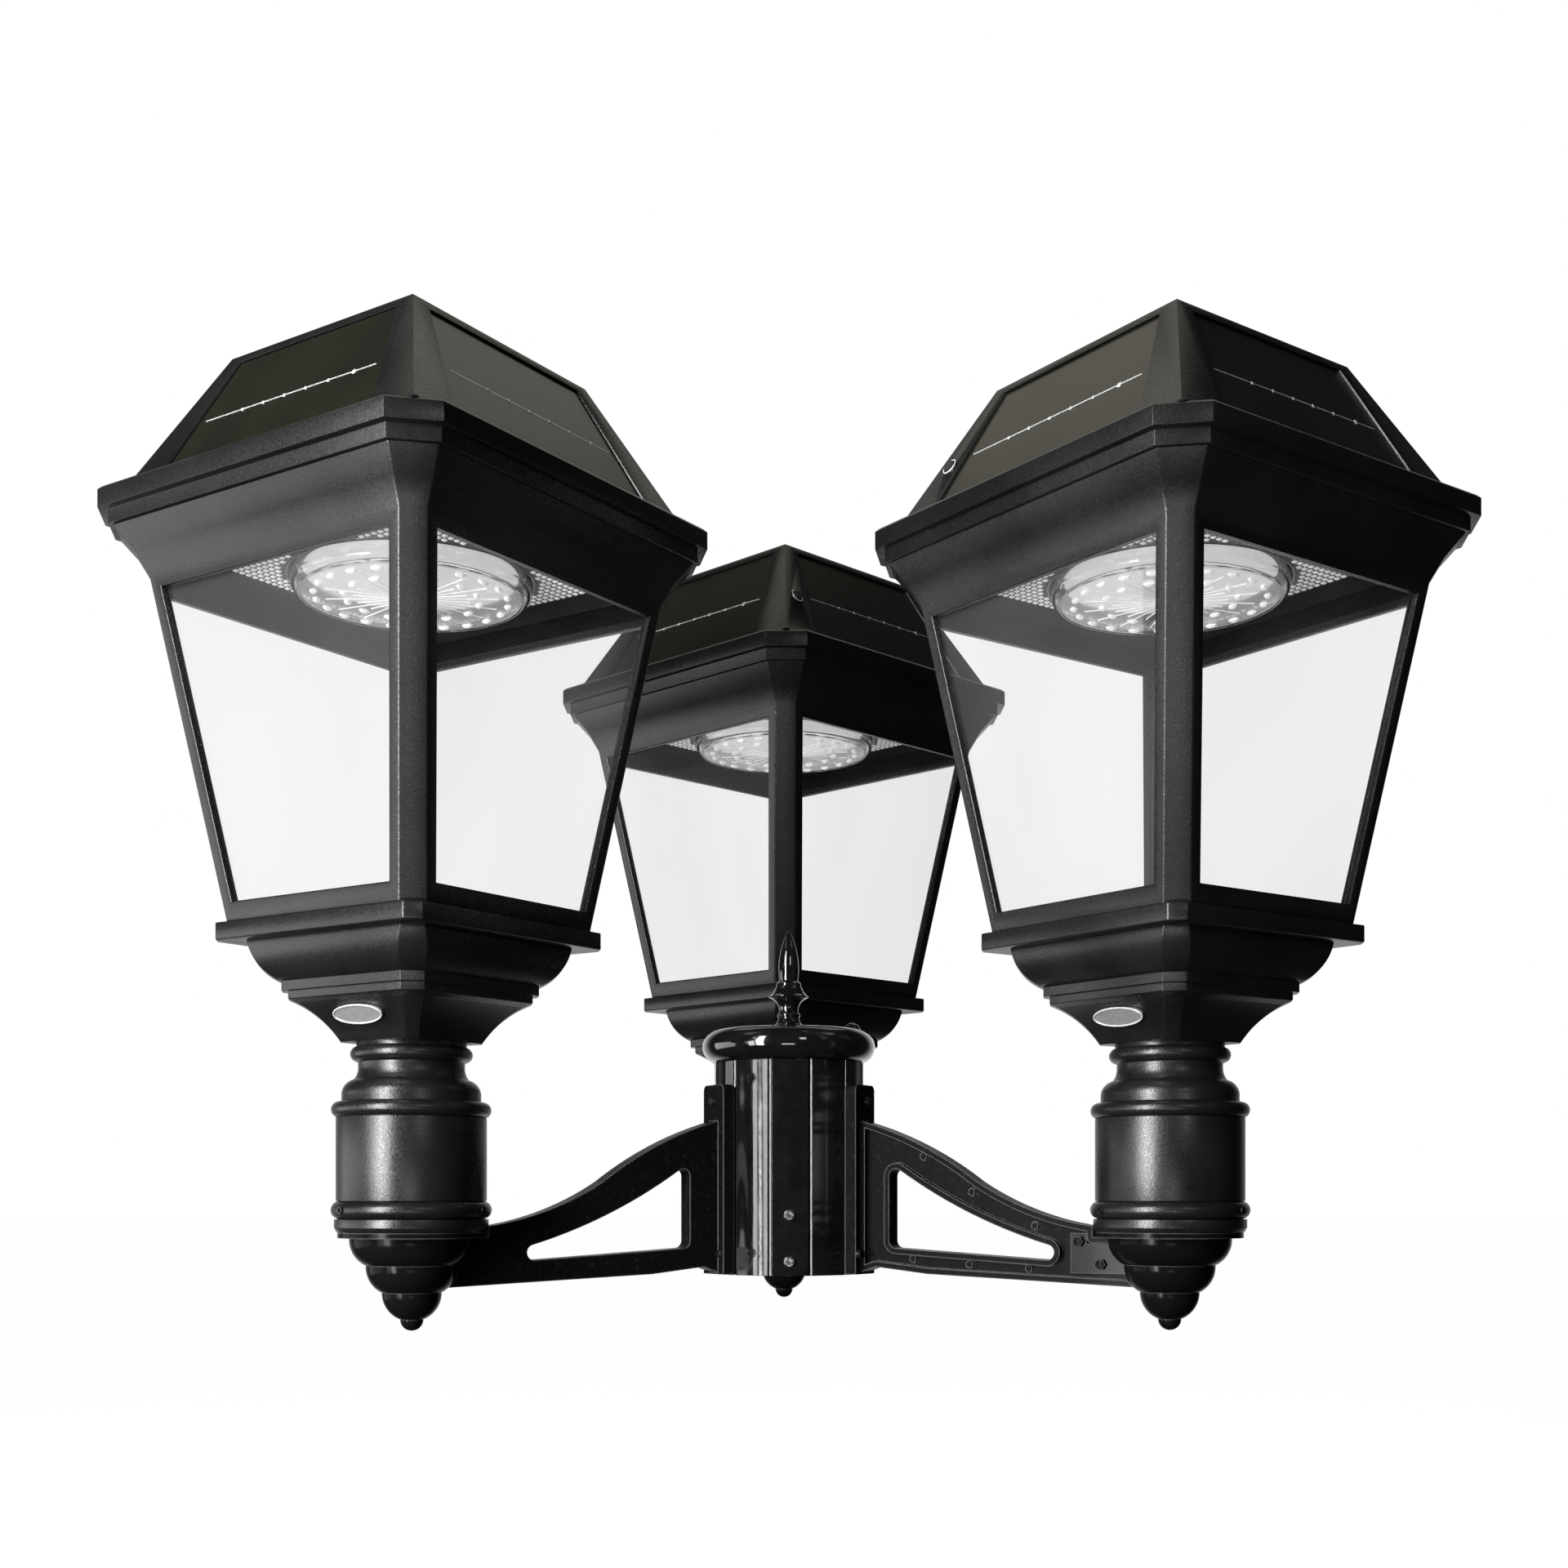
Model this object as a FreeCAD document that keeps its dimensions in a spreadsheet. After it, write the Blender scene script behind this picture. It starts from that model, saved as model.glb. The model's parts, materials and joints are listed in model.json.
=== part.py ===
import FreeCAD, Part
import math
import os
import re
import Sketcher

# Three-lantern post top: a twelve-sided hub that slips over a round pole, three cast arms,
# and a square tapered solar lantern that swivels on the spigot at the end of each arm.
# Frame: +Z up, origin at the centre of the mouth of the hub's pole socket, millimetres.

# ---------------------------------------------------------------- driving dimensions
DIMENSIONS = {
    # hub and pole socket
    "socket_radius": 38.6,
    "socket_depth": 100.0,
    "hub_apothem": 51.5,
    "hub_height": 146.5,
    "hub_web": 6.0,
    "hub_bore_top": 40.0,
    "groove_radius": 1.5,
    "cap_radius": 60.5,
    "cap_height": 23.0,
    "cap_dome": 1.5,
    "stud_radius": 4.0,
    "stud_length": 70.0,
    "nut_flat": 13.0,
    "nut_height": 6.5,
    # finial radii and heights above its base
    "finial_height": 69.0,
    "finial_flare": 16.5,
    "finial_neck": 6.8,
    "finial_cone": 14.0,
    "finial_ring": 8.8,
    "finial_spear": 6.6,
    "finial_bow": 60.0,
    "finial_foot_high": 1.2,
    "finial_bead_low": 7.6,
    "finial_bead_high": 10.8,
    "finial_cup_low": 12.0,
    "finial_cone_high": 22.3,
    "finial_ring_low": 30.0,
    "finial_ring_high": 31.6,
    "finial_spear_low": 33.6,
    "finial_tip": 0.8,
    # arms
    "arm_reach": 275.0,
    "arm_thickness": 13.0,
    "arm_start": 59.0,
    "arm_top": 105.5,
    "arm_bend_reach": 146.0,
    "arm_bend_height": 63.5,
    "arm_end": 226.3,
    "arm_end_top": 34.6,
    "arm_tongue": 256.0,
    "arm_low": 4.2,
    "arm_heel": 1.5,
    "arm_instep": 5.8,
    "arm_foot": 1.6,
    "arm_shoulder_bow": 260.0,
    "arm_sweep_bow": 200.0,
    "gap_start": 86.5,
    "gap_end": 195.0,
    "gap_low": 23.7,
    "gap_tip": 17.3,
    "gap_high": 67.3,
    "gap_bow": 380.0,
    "gap_round": 5.0,
    "rib_width": 4.0,
    "recess_depth": 5.0,
    "boss_radius": 2.6,
    "boss_height": 2.0,
    "flange_width": 28.0,
    "flange_height": 130.0,
    "flange_outer": 60.0,
    "flange_round": 4.0,
    # cup, acorn and spigot at the end of an arm
    "spigot_radius": 38.1,
    "spigot_bore": 33.0,
    "spigot_top": 108.0,
    "seat_height": 31.0,
    "lip_height": 3.5,
    "lip_radius": 45.6,
    "tier_radius": 38.4,
    "tier_bow": 18.0,
    "tier_drop": 17.0,
    "tier_two": 28.3,
    "tier_three": 18.5,
    "tier_foot": 7.2,
    "knob_drop": 7.2,
    "lug_start": 211.0,
    "lug_step": 222.0,
    "lug_low": 4.0,
    "lug_high": 23.2,
    "lug_ear": 30.0,
    "lug_thickness": 4.0,
    # fitter column of a lantern
    "fit_clearance": 0.1,
    "seat_gap": 0.3,
    "column_top": 149.3,
    "column_neck": 34.0,
    "column_waist": 32.9,
    "column_shoulder": 43.0,
    "column_radius": 46.5,
    "bead_large": 50.2,
    "band_radius": 47.6,
    "skirt_low": 39.4,
    "skirt_high": 50.5,
    "skirt_bow": 5.6,
    "collar_low": 102.6,
    "collar_high": 112.2,
    "collar_bow": 4.9,
    "shoulder_high": 117.5,
    "waist_curve": 126.2,
    "waist_low": 134.5,
    "neck_low": 137.4,
    "neck_high": 146.6,
    "neck_bow": 4.7,
    "column_eye": 18.0,
    "column_lid": 4.0,
    # bell under the lantern
    "bell_top": 210.3,
    "bell_half": 75.3,
    "bell_low_half": 61.3,
    "bell_cut": 10.0,
    "ovolo_drop": 24.3,
    "ovolo_bow": 28.1,
    "step_drop": 6.0,
    "step_half": 57.9,
    "cove_half": 33.7,
    "cove_bow": 56.0,
    "wall": 3.5,
    # base plate and glazed frame
    "plate_half": 87.4,
    "plate_cut": 8.0,
    "plate_height": 10.7,
    "plate_rim": 16.0,
    "frame_low_half": 84.0,
    "frame_high": 430.0,
    "frame_high_half": 116.0,
    "post_cut": 11.2,
    "window_low": 233.0,
    "window_high": 422.0,
    "post_face": 19.0,
    "frame_wall": 5.0,
    "glass_thickness": 3.0,
    "glass_lap": 4.0,
    "cornice_mid": 444.0,
    "cornice_mid_half": 124.0,
    "cornice_high": 457.5,
    "cornice_high_half": 134.5,
    "cornice_cut": 19.4,
    # ceiling, diffuser and lens
    "ceiling_height": 443.0,
    "ceiling_half": 117.8,
    "ceiling_cut": 13.3,
    "tray_thickness": 3.0,
    "diffuser_half": 82.0,
    "diffuser_thickness": 3.0,
    "lens_radius": 74.0,
    "lens_drop": 15.0,
    "lens_wall": 2.5,
    "lens_bow": 6.0,
    "board_radius": 66.0,
    "board_thickness": 1.6,
    "chip_radius": 2.6,
    "chip_height": 1.4,
    "outer_ring": 54.0,
    "inner_ring": 32.0,
    "cell_radius": 9.2,
    "cell_length": 65.0,
    "cell_gap": 1.0,
    "holder_height": 4.0,
    "holder_half": 45.0,
    "holder_half_length": 72.0,
    # roof
    "eave_low": 466.2,
    "eave_high": 479.0,
    "eave_half": 142.0,
    "eave_cut": 22.5,
    "under_half": 137.0,
    "under_cut": 21.0,
    "roof_half": 124.0,
    "roof_high": 568.5,
    "roof_top_half": 76.6,
    "roof_wall": 6.4,
    "hip_cut": 0.01,
    "lid_half": 70.0,
    "lid_height": 1.5,
    "panel_depth": 3.5,
    "panel_sink": 1.4,
    "panel_low": 484.0,
    "panel_high": 563.0,
    "panel_low_half": 89.0,
    "panel_high_half": 66.0,
    "panel_gap": 0.6,
    "button_height": 518.0,
    "button_side": 91.0,
    "button_radius": 3.6,
    "button_stand": 2.4,
    "button_gap": 0.35,
    "button_length": 9.0,
    "bezel_radius": 5.6,
    "bezel_stand": 0.8,
    "collar_stand": 1.4,
    "collar_thickness": 1.2,
    # badge
    "badge_long": 20.0,
    "badge_short": 6.8,
    "badge_thickness": 1.6,
    "badge_height": 165.0,
    "badge_reach": 44.9,
    # fasteners
    "screw_radius": 2.5,
    "screw_head": 3.9,
    "screw_head_height": 2.4,
    "grub_radius": 2.5,
    "grub_length": 11.2,
    "grub_socket": 2.5,
    "grub_height": 44.8,
    "bolt_radius": 2.0,
    "bolt_head": 3.4,
    "bolt_head_height": 2.6,
    "plug_radius": 3.3,
    "plug_length": 6.5,
    "plug_seat": 6.0,
    "flange_bolt_length": 15.0,
    "drive_length": 1.1,
    "drive_width": 0.22,
    "drive_floor": 0.45,
}
# direction of each arm, counted from +X; the two front arms lean toward -Y
ARM_ANGLES = {"left": 210.0, "right": 330.0, "rear": 90.0}
# yaw of each lantern from "one corner straight to the front", and quarter turns of its roof
LANTERN_YAW = {"left": 10.7, "right": -10.0, "rear": -0.2}
ROOF_TURNS = {"left": 3, "right": 0, "rear": 1}
# places of small repeated things, in millimetres
POLE_SCREW_HEIGHTS = (9.5, 41.0)
PLUG_HEIGHTS = (15.5, 134.0)
FLANGE_BOLTS = ((0.0, 118.8), (-10.4, 14.6), (10.4, 14.6))  # across the flange, height
LUG_BOLTS = ((216.6, 24.6), (231.5, 10.0))  # reach from the post's axis, height
ARM_BOSSES = ((105.5, 80.5), (140.8, 56.5), (185.4, 34.4),  # reach, height
              (97.8, 11.5), (139.1, 8.5), (181.4, 6.5))
CHIP_RINGS = {"outer_ring": 14, "inner_ring": 7}
HUB_SIDES = 12
BADGE_LEAN = 42.0

V = FreeCAD.Vector
ROOT_TWO = "1.41421356"
doc = FreeCAD.newDocument("street_lamp_post")
sheet = doc.addObject("Spreadsheet::Sheet", "dims")
for row, (alias, number) in enumerate(DIMENSIONS.items(), start=1):
    sheet.set("A%d" % row, alias)
    sheet.set("B%d" % row, str(number))
    sheet.setAlias("B%d" % row, alias)
doc.recompute()
nodes = []


# ---------------------------------------------------------------- helpers
def with_sheet(formula):
    """Write each alias in a formula as a reference to the sheet."""
    def refer(match):
        word = match.group()
        return "dims." + word if word in DIMENSIONS else word
    return re.sub(r"[A-Za-z_]\w*", refer, formula)


def value(formula):
    return float(sheet.evalExpression(with_sheet(formula)))


def bind(obj, **formulas):
    for prop, formula in formulas.items():
        obj.setExpression(prop, with_sheet(formula))
    return obj


def bowed_run(start, end, radius, side):
    """Arc from start to end that bows to the left of the run (side 1) or to its right (-1)."""
    chord = end - start
    left = V(-chord.y, chord.x, 0).normalize()
    offset = math.sqrt(max(radius ** 2 - chord.Length ** 2 / 4, 0.0))
    centre = (start + end) / 2 - left * side * offset
    first, last = (end, start) if side > 0 else (start, end)
    angles = [math.atan2(p.y - centre.y, p.x - centre.x) for p in (first, last)]
    return Part.ArcOfCircle(Part.Circle(centre, V(0, 0, 1), radius), *angles)


def draw_outline(sketch, corners):
    """Closed outline through corners (x, z) or (x, z, radius, side), tied to the sheet."""
    points = [V(value(corner[0]), value(corner[1]), 0) for corner in corners]
    count = len(corners)
    tips = []
    for i, corner in enumerate(corners):
        start, end = points[i], points[(i + 1) % count]
        if len(corner) == 2:
            sketch.addGeometry(Part.LineSegment(start, end), False)
            tips.append((1, 2))
        else:
            sketch.addGeometry(bowed_run(start, end, value(corner[2]), corner[3]), False)
            tips.append((2, 1) if corner[3] > 0 else (1, 2))
    for i, corner in enumerate(corners):
        follower = (i + 1) % count
        sketch.addConstraint(
            Sketcher.Constraint("Coincident", i, tips[i][1], follower, tips[follower][0]))
        for kind, axis, formula, number in (("DistanceX", -2, corner[0], points[i].x),
                                            ("DistanceY", -1, corner[1], points[i].y)):
            if formula == "0":
                sketch.addConstraint(Sketcher.Constraint("PointOnObject", i, tips[i][0], axis))
                continue
            tie = sketch.addConstraint(
                Sketcher.Constraint(kind, -1, 1, i, tips[i][0], number))
            bind(sketch, **{"Constraints[%d]" % tie: formula})
        if len(corner) == 4:
            tie = sketch.addConstraint(Sketcher.Constraint("Radius", i, value(corner[2])))
            bind(sketch, **{"Constraints[%d]" % tie: corner[2]})


def both_sides(corners):
    """Mirror the right-hand corners, given from the bottom up, into a closed outline."""
    left = []
    for i in range(len(corners) - 1, -1, -1):
        x, z = corners[i][:2]
        arc = corners[i - 1][2:] if i > 0 else ()
        left.append(("-(%s)" % x, z) + tuple(arc))
    last = corners[-1][:2]
    return list(corners[:-1]) + [last] + left


def upright_sketch(name, corners):
    """Free sketch in the X-Z plane."""
    sketch = doc.addObject("Sketcher::SketchObject", name)
    sketch.Placement = FreeCAD.Placement(V(0, 0, 0), FreeCAD.Rotation(V(1, 0, 0), 90))
    draw_outline(sketch, corners)
    return sketch


def extrusion(name, base, length, turn=0.0, symmetric=True):
    """Extrude a sketch along its normal, then turn it about Z."""
    solid = doc.addObject("Part::Extrusion", name)
    solid.Base = base
    solid.DirMode = "Normal"
    solid.Symmetric = symmetric
    solid.Solid = True
    bind(solid, LengthFwd=length)
    solid.Placement = FreeCAD.Placement(V(0, 0, 0), FreeCAD.Rotation(V(0, 0, 1), turn))
    return solid


def square_block(name, levels):
    """Square plan with cut corners. A level is (half side, corner cut, z[, radius, side])."""
    flat = [(level[0], level[2]) + tuple(level[3:]) for level in levels]
    corner = []
    for level in levels:
        arc = ("(%s) * 1.2" % level[3], level[4]) if len(level) == 5 else ()
        corner.append(("((%s) - (%s) / 2) * %s" % (level[0], level[1], ROOT_TWO), level[2]) + arc)
    flat_sketch = upright_sketch(name + "_side", both_sides(flat))
    corner_sketch = upright_sketch(name + "_corner", both_sides(corner))
    slabs = []
    for turn, sketch in ((0, flat_sketch), (90, flat_sketch),
                         (45, corner_sketch), (135, corner_sketch)):
        slabs.append(extrusion("%s_slab_%d" % (name, turn), sketch, "eave_half * 4", turn))
    block = doc.addObject("Part::MultiCommon", name)
    block.Shapes = slabs
    return block


def crossed(name, corners):
    """The same outline extruded through the lantern from front to back and side to side."""
    sketch = upright_sketch(name + "_outline", both_sides(corners))
    return join(name, [extrusion("%s_%d" % (name, turn), sketch, "eave_half * 4", turn)
                       for turn in (0, 90)])


def cut(name, base, tool):
    result = doc.addObject("Part::Cut", name)
    result.Base = base
    result.Tool = tool
    return result


def common(name, base, tool):
    result = doc.addObject("Part::Common", name)
    result.Base = base
    result.Tool = tool
    return result


def join(name, shapes):
    result = doc.addObject("Part::MultiFuse", name)
    result.Shapes = shapes
    return result


def group(name, shapes):
    result = doc.addObject("Part::Compound", name)
    result.Links = shapes
    return result


def cylinder(name, radius, height, base=V(0, 0, 0), direction=V(0, 0, 1)):
    solid = doc.addObject("Part::Cylinder", name)
    bind(solid, Radius=radius, Height=height)
    solid.Placement = FreeCAD.Placement(base, FreeCAD.Rotation(V(0, 0, 1), direction))
    return solid


def box(name, low, high):
    """Box between two corners given as formulas."""
    solid = doc.addObject("Part::Box", name)
    for prop, i in (("Length", 0), ("Width", 1), ("Height", 2)):
        bind(solid, **{prop: "(%s) - (%s)" % (high[i], low[i])})
    for axis, i in (("x", 0), ("y", 1), ("z", 2)):
        bind(solid, **{"Placement.Base." + axis: low[i]})
    return solid


def plane_of(body, role):
    return [plane for plane in body.Origin.OriginFeatures if plane.Role == role][0]


def body_sketch(body, name, role):
    sketch = body.newObject("Sketcher::SketchObject", name)
    sketch.AttachmentSupport = [(plane_of(body, role), "")]
    sketch.MapMode = "FlatFace"
    return sketch


def turned_body(name, corners):
    """Body turned about Z from an outline of (radius, z) corners."""
    body = doc.addObject("PartDesign::Body", name)
    sketch = body_sketch(body, name + "_profile", "XZ_Plane")
    draw_outline(sketch, corners)
    turned = body.newObject("PartDesign::Revolution", name + "_turned")
    turned.Profile = sketch
    turned.ReferenceAxis = (sketch, ["V_Axis"])
    turned.Angle = 360
    return body


def polar(radius, degrees, height):
    angle = math.radians(degrees)
    return V(radius * math.cos(angle), radius * math.sin(angle), height)


def fastener(name, place, direction, sizes, drive):
    """Screw on a seat at place, head along direction. sizes: shank, length, head, height."""
    shank_radius, length, head_radius, head_height = sizes
    turn = FreeCAD.Rotation(V(0, 0, 1), direction)
    shank = cylinder(name + "_shank", shank_radius, length, place - direction * value(length),
                     direction)
    if drive == "hex":
        head = doc.addObject("Part::Prism", name + "_head")
        head.Polygon = 6
        bind(head, Circumradius=head_radius, Height=head_height)
    else:
        head = doc.addObject("Part::Cone", name + "_head")
        bind(head, Radius1=head_radius, Radius2="(%s) * 0.72" % head_radius, Height=head_height)
    head.Placement = FreeCAD.Placement(place, turn)
    whole = join(name + "_whole", [shank, head])
    if drive != "cross":
        return whole
    slots = []
    for i, quarter in enumerate((0, 90)):
        slot = doc.addObject("Part::Box", "%s_slot_%d" % (name, i))
        bind(slot, Length="(%s) * drive_length" % head_radius,
             Width="(%s) * drive_width" % head_radius, Height=head_height)
        centre = V(-value("(%s) * drive_length / 2" % head_radius),
                   -value("(%s) * drive_width / 2" % head_radius),
                   value("(%s) * drive_floor" % head_height))
        spin = FreeCAD.Rotation(V(0, 0, 1), quarter)
        slot.Placement = FreeCAD.Placement(place, turn).multiply(
            FreeCAD.Placement(V(0, 0, 0), spin)).multiply(
            FreeCAD.Placement(centre, FreeCAD.Rotation()))
        slots.append(slot)
    return cut(name + "_driven", whole, join(name + "_slots", slots))


def node(name, source, placement=None):
    """Name one placed sub-part; its Label is the name of its file."""
    part = group(name, [source])
    part.Label = name
    part.Placement = placement or FreeCAD.Placement()
    nodes.append(part)


# ---------------------------------------------------------------- hub
def hub_fasteners():
    """Pole screws on the flats between the arms, flush plugs beside them, flange bolts."""
    screws, plugs, bolts = [], [], []
    for arm, angle in ARM_ANGLES.items():
        between = angle + 60
        for i, height in enumerate(POLE_SCREW_HEIGHTS):
            screws.append(fastener("pole_screw_%s_%d" % (arm, i),
                                   polar(value("hub_apothem"), between, height),
                                   polar(1, between, 0),
                                   ("screw_radius", "hub_apothem - socket_radius - 0.6",
                                    "screw_head", "screw_head_height"), "cross"))
        beside = angle + 30
        for i, height in enumerate(PLUG_HEIGHTS):
            plugs.append(cylinder("plug_%s_%d" % (arm, i), "plug_radius", "plug_length",
                                  polar(value("hub_apothem - plug_seat"), beside, height),
                                  polar(1, beside, 0)))
        outward = polar(1, angle, 0)
        side = polar(1, angle + 90, 0)
        for i, (across, height) in enumerate(FLANGE_BOLTS):
            seat = polar(value("flange_outer"), angle, height) + side * across
            bolts.append(fastener("flange_bolt_%s_%d" % (arm, i), seat, outward,
                                  ("bolt_radius", "flange_bolt_length", "bolt_head",
                                   "bolt_head_height"), "cross"))
    return group("pole_screw_set", screws), group("plug_set", plugs), group("bolt_set", bolts)


def hub_casting(cutters):
    """Twelve-sided tube with a pole socket below, a web, and grooved corners."""
    body = doc.addObject("PartDesign::Body", "hub_casting")
    plan = body_sketch(body, "hub_plan", "XY_Plane")
    corner = math.pi / HUB_SIDES
    reach = "hub_apothem / %.7f" % math.cos(corner)
    draw_outline(plan, [("%s * %.7f" % (reach, math.cos(corner * (2 * i + 1))),
                         "%s * %.7f" % (reach, math.sin(corner * (2 * i + 1))))
                        for i in range(HUB_SIDES)])
    pad = body.newObject("PartDesign::Pad", "hub_pad")
    pad.Profile = plan
    bind(pad, Length="hub_height")
    ring = body_sketch(body, "hub_bores", "XZ_Plane")
    draw_outline(ring, [("0", "0"),
                        ("socket_radius", "0"),
                        ("socket_radius", "socket_depth"),
                        ("stud_radius + 0.2", "socket_depth"),
                        ("stud_radius + 0.2", "socket_depth + hub_web"),
                        ("hub_bore_top", "socket_depth + hub_web"),
                        ("hub_bore_top", "hub_height + 1"),
                        ("0", "hub_height + 1")])
    bores = body.newObject("PartDesign::Groove", "hub_bored")
    bores.Profile = ring
    bores.ReferenceAxis = (ring, ["V_Axis"])
    bores.Angle = 360
    dent = body_sketch(body, "groove_plan", "XY_Plane")
    dent.addGeometry(Part.Circle(V(0, 0, 0), V(0, 0, 1), value("groove_radius")), False)
    tie = dent.addConstraint(Sketcher.Constraint("Radius", 0, value("groove_radius")))
    bind(dent, **{"Constraints[%d]" % tie: "groove_radius"})
    for kind, part in (("DistanceX", math.cos(corner)), ("DistanceY", math.sin(corner))):
        formula = "%s * %.7f" % (reach, part)
        tie = dent.addConstraint(Sketcher.Constraint(kind, -1, 1, 0, 3, value(formula)))
        bind(dent, **{"Constraints[%d]" % tie: formula})
    doc.recompute()
    before = body.Shape.Volume
    groove = body.newObject("PartDesign::Pocket", "corner_groove")
    groove.Profile = dent
    groove.Type = 1
    groove.Reversed = True
    doc.recompute()
    if groove.Shape.Volume > before - 1:
        raise RuntimeError("the corner groove cuts nothing")
    pattern = body.newObject("PartDesign::PolarPattern", "corner_grooves")
    pattern.Originals = [groove]
    pattern.Axis = (dent, ["N_Axis"])
    pattern.Angle = 360
    pattern.Occurrences = HUB_SIDES
    body.Tip = pattern
    return cut("hub_drilled", body, group("hub_cutters", cutters))


def hub_cap():
    """Bun-shaped cap, hollow below, with a hole for the stud."""
    rim = "cap_radius - cap_height / 2"
    return turned_body("cap_casting", [
        ("stud_radius + 0.2", "hub_height + cap_height - wall"),
        ("hub_bore_top - 4", "hub_height + cap_height - wall * 2"),
        ("hub_bore_top", "hub_height"),
        (rim, "hub_height", "cap_height / 2 + 0.001", -1),
        (rim, "hub_height + cap_height"),
        ("finial_flare + 2", "hub_height + cap_height + cap_dome"),
        ("stud_radius + 0.2", "hub_height + cap_height + cap_dome")])


def hub_finial():
    """Turned spear: flared foot, bead, cup, ring and point."""
    base = "hub_height + cap_height + cap_dome"

    def level(height):
        return "%s + %s" % (base, height)

    return turned_body("finial_casting", [
        ("0", base),
        ("finial_flare", base),
        ("finial_flare", level("finial_foot_high"), "7.5", 1),
        ("finial_neck + 0.6", level("finial_bead_low")),
        ("finial_neck + 0.6", level("finial_bead_low + 0.4"), "1.6", -1),
        ("finial_neck + 0.4", level("finial_bead_high")),
        ("finial_neck", level("finial_cup_low"), "9", 1),
        ("finial_cone - 0.6", level("finial_cone_high - 0.9")),
        ("finial_cone", level("finial_cone_high"), "16", 1),
        ("finial_ring", level("finial_ring_low")),
        ("finial_ring", level("finial_ring_high")),
        ("finial_spear", level("finial_spear_low"), "finial_bow", -1),
        ("finial_tip", level("finial_height - finial_tip")),
        ("0", level("finial_height"))])


def finial_stud():
    """Threaded rod from the finial through the cap into the hub's web, and its lock nut."""
    top = value("hub_height + cap_height + cap_dome")
    rod = cylinder("stud_rod", "stud_radius", "stud_length", V(0, 0, top - value("stud_length")))
    nut = doc.addObject("Part::Prism", "stud_nut")
    nut.Polygon = 6
    bind(nut, Circumradius="nut_flat / 1.7320508", Height="nut_height")
    nut.Placement.Base = V(0, 0, value("socket_depth + hub_web"))
    return join("stud_with_nut", [rod, nut])


# ---------------------------------------------------------------- arm and cup
def acorn(name, lug):
    """Seat lip, three bowed tiers and a knob below; the tubular spigot above."""
    base = "seat_height - lip_height"

    def drop(steps):
        return "%s - tier_drop * %s" % (base, steps)

    body = turned_body(name, [
        ("0", base),
        ("0", "%s - knob_drop" % drop(3)),
        ("1", "%s - knob_drop" % drop(3), "7", -1),
        ("tier_foot", drop(3)),
        ("tier_foot + 0.4", drop(3), "tier_bow", -1),
        ("tier_three", drop(2)),
        ("tier_three + 0.6", drop(2), "tier_bow", -1),
        ("tier_two", drop(1)),
        ("tier_two + 0.6", drop(1), "tier_bow", -1),
        ("tier_radius", base),
        ("lip_radius", base),
        ("lip_radius", "seat_height"),
        ("spigot_radius", "seat_height"),
        ("spigot_radius", "spigot_top"),
        ("spigot_bore", "spigot_top"),
        ("spigot_bore", "seat_height"),
        ("spigot_bore - 6", base)])
    if not lug:
        return body
    start, end, step = "lug_start - arm_reach", "-tier_two + 4", "lug_step - arm_reach"
    outline = upright_sketch(name + "_lug_outline", [
        (start, "lug_low"),
        (end, "lug_low"),
        (end, "lug_high"),
        (step, "lug_high"),
        (step, "lug_ear"),
        (start, "lug_ear")])
    plate = extrusion(name + "_lug", outline, "lug_thickness")
    plate.Placement.Base = V(0, -value("arm_thickness / 2 - recess_depth + lug_thickness / 2"), 0)
    return join(name + "_with_lug", [body, plate])


def cup_bolts():
    """Two hex bolts through the lug and the web of the arm, heads on the ribbed side."""
    seat = -value("arm_thickness / 2 - recess_depth + lug_thickness")
    return [fastener("cup_bolt_%d" % i, V(reach, seat, height), V(0, -1, 0),
                     ("bolt_radius", "lug_thickness + arm_thickness - recess_depth - 1",
                      "bolt_head + 0.4", "bolt_head_height"), "hex")
            for i, (reach, height) in enumerate(LUG_BOLTS)]


def arm_casting(cup, cutters):
    """Swept web with a three-cornered gap; the recess on the -Y side leaves raised ribs."""
    outline = upright_sketch("arm_outline", [
        ("arm_start", "arm_heel"),
        ("arm_start + 12", "arm_instep"),
        ("arm_start + 51", "arm_foot"),
        ("arm_tongue", "-arm_low"),
        ("arm_tongue", "seat_height - lip_height"),
        ("arm_end", "seat_height - lip_height"),
        ("arm_end", "arm_end_top", "arm_sweep_bow", 1),
        ("arm_bend_reach", "arm_bend_height", "arm_shoulder_bow", -1),
        ("arm_start", "arm_top")])
    core = upright_sketch("gap_core", [
        ("gap_start", "gap_low"),
        ("gap_end", "gap_tip", "gap_bow", 1),
        ("gap_start", "gap_high")])
    web = extrusion("arm_web", outline, "arm_thickness")
    hole = extrusion("arm_gap", offset("gap_edge", core, "gap_round"), "arm_thickness * 2")
    pit = extrusion("recess_field", offset("recess_edge", outline, "-rib_width"),
                    "arm_thickness")
    island = extrusion("recess_island", offset("island_edge", core, "gap_round + rib_width"),
                       "arm_thickness * 2")
    recess = cut("arm_recess", pit, island)
    recess.Placement.Base = V(0, -value("arm_thickness - recess_depth"), 0)
    flange = box("flange_block", ("hub_apothem", "-flange_width / 2", "0.5"),
                 ("flange_outer", "flange_width / 2", "flange_height"))
    flange = rounded("flange_plate", flange, value("flange_round"), top_corners)
    bosses = []
    for i, (reach, height) in enumerate(ARM_BOSSES):
        start = V(reach, -value("arm_thickness / 2 - recess_depth") + 1, height)
        bosses.append(cylinder("boss_%d" % i, "boss_radius", "boss_height + 1", start,
                               V(0, -1, 0)))
    ribbed = cut("ribbed_web", cut("pierced_web", web, hole), recess)
    whole = join("arm_whole", [ribbed, flange] + bosses)
    return cut("arm_trimmed", whole, group("arm_cutters", [cup] + cutters))


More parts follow.
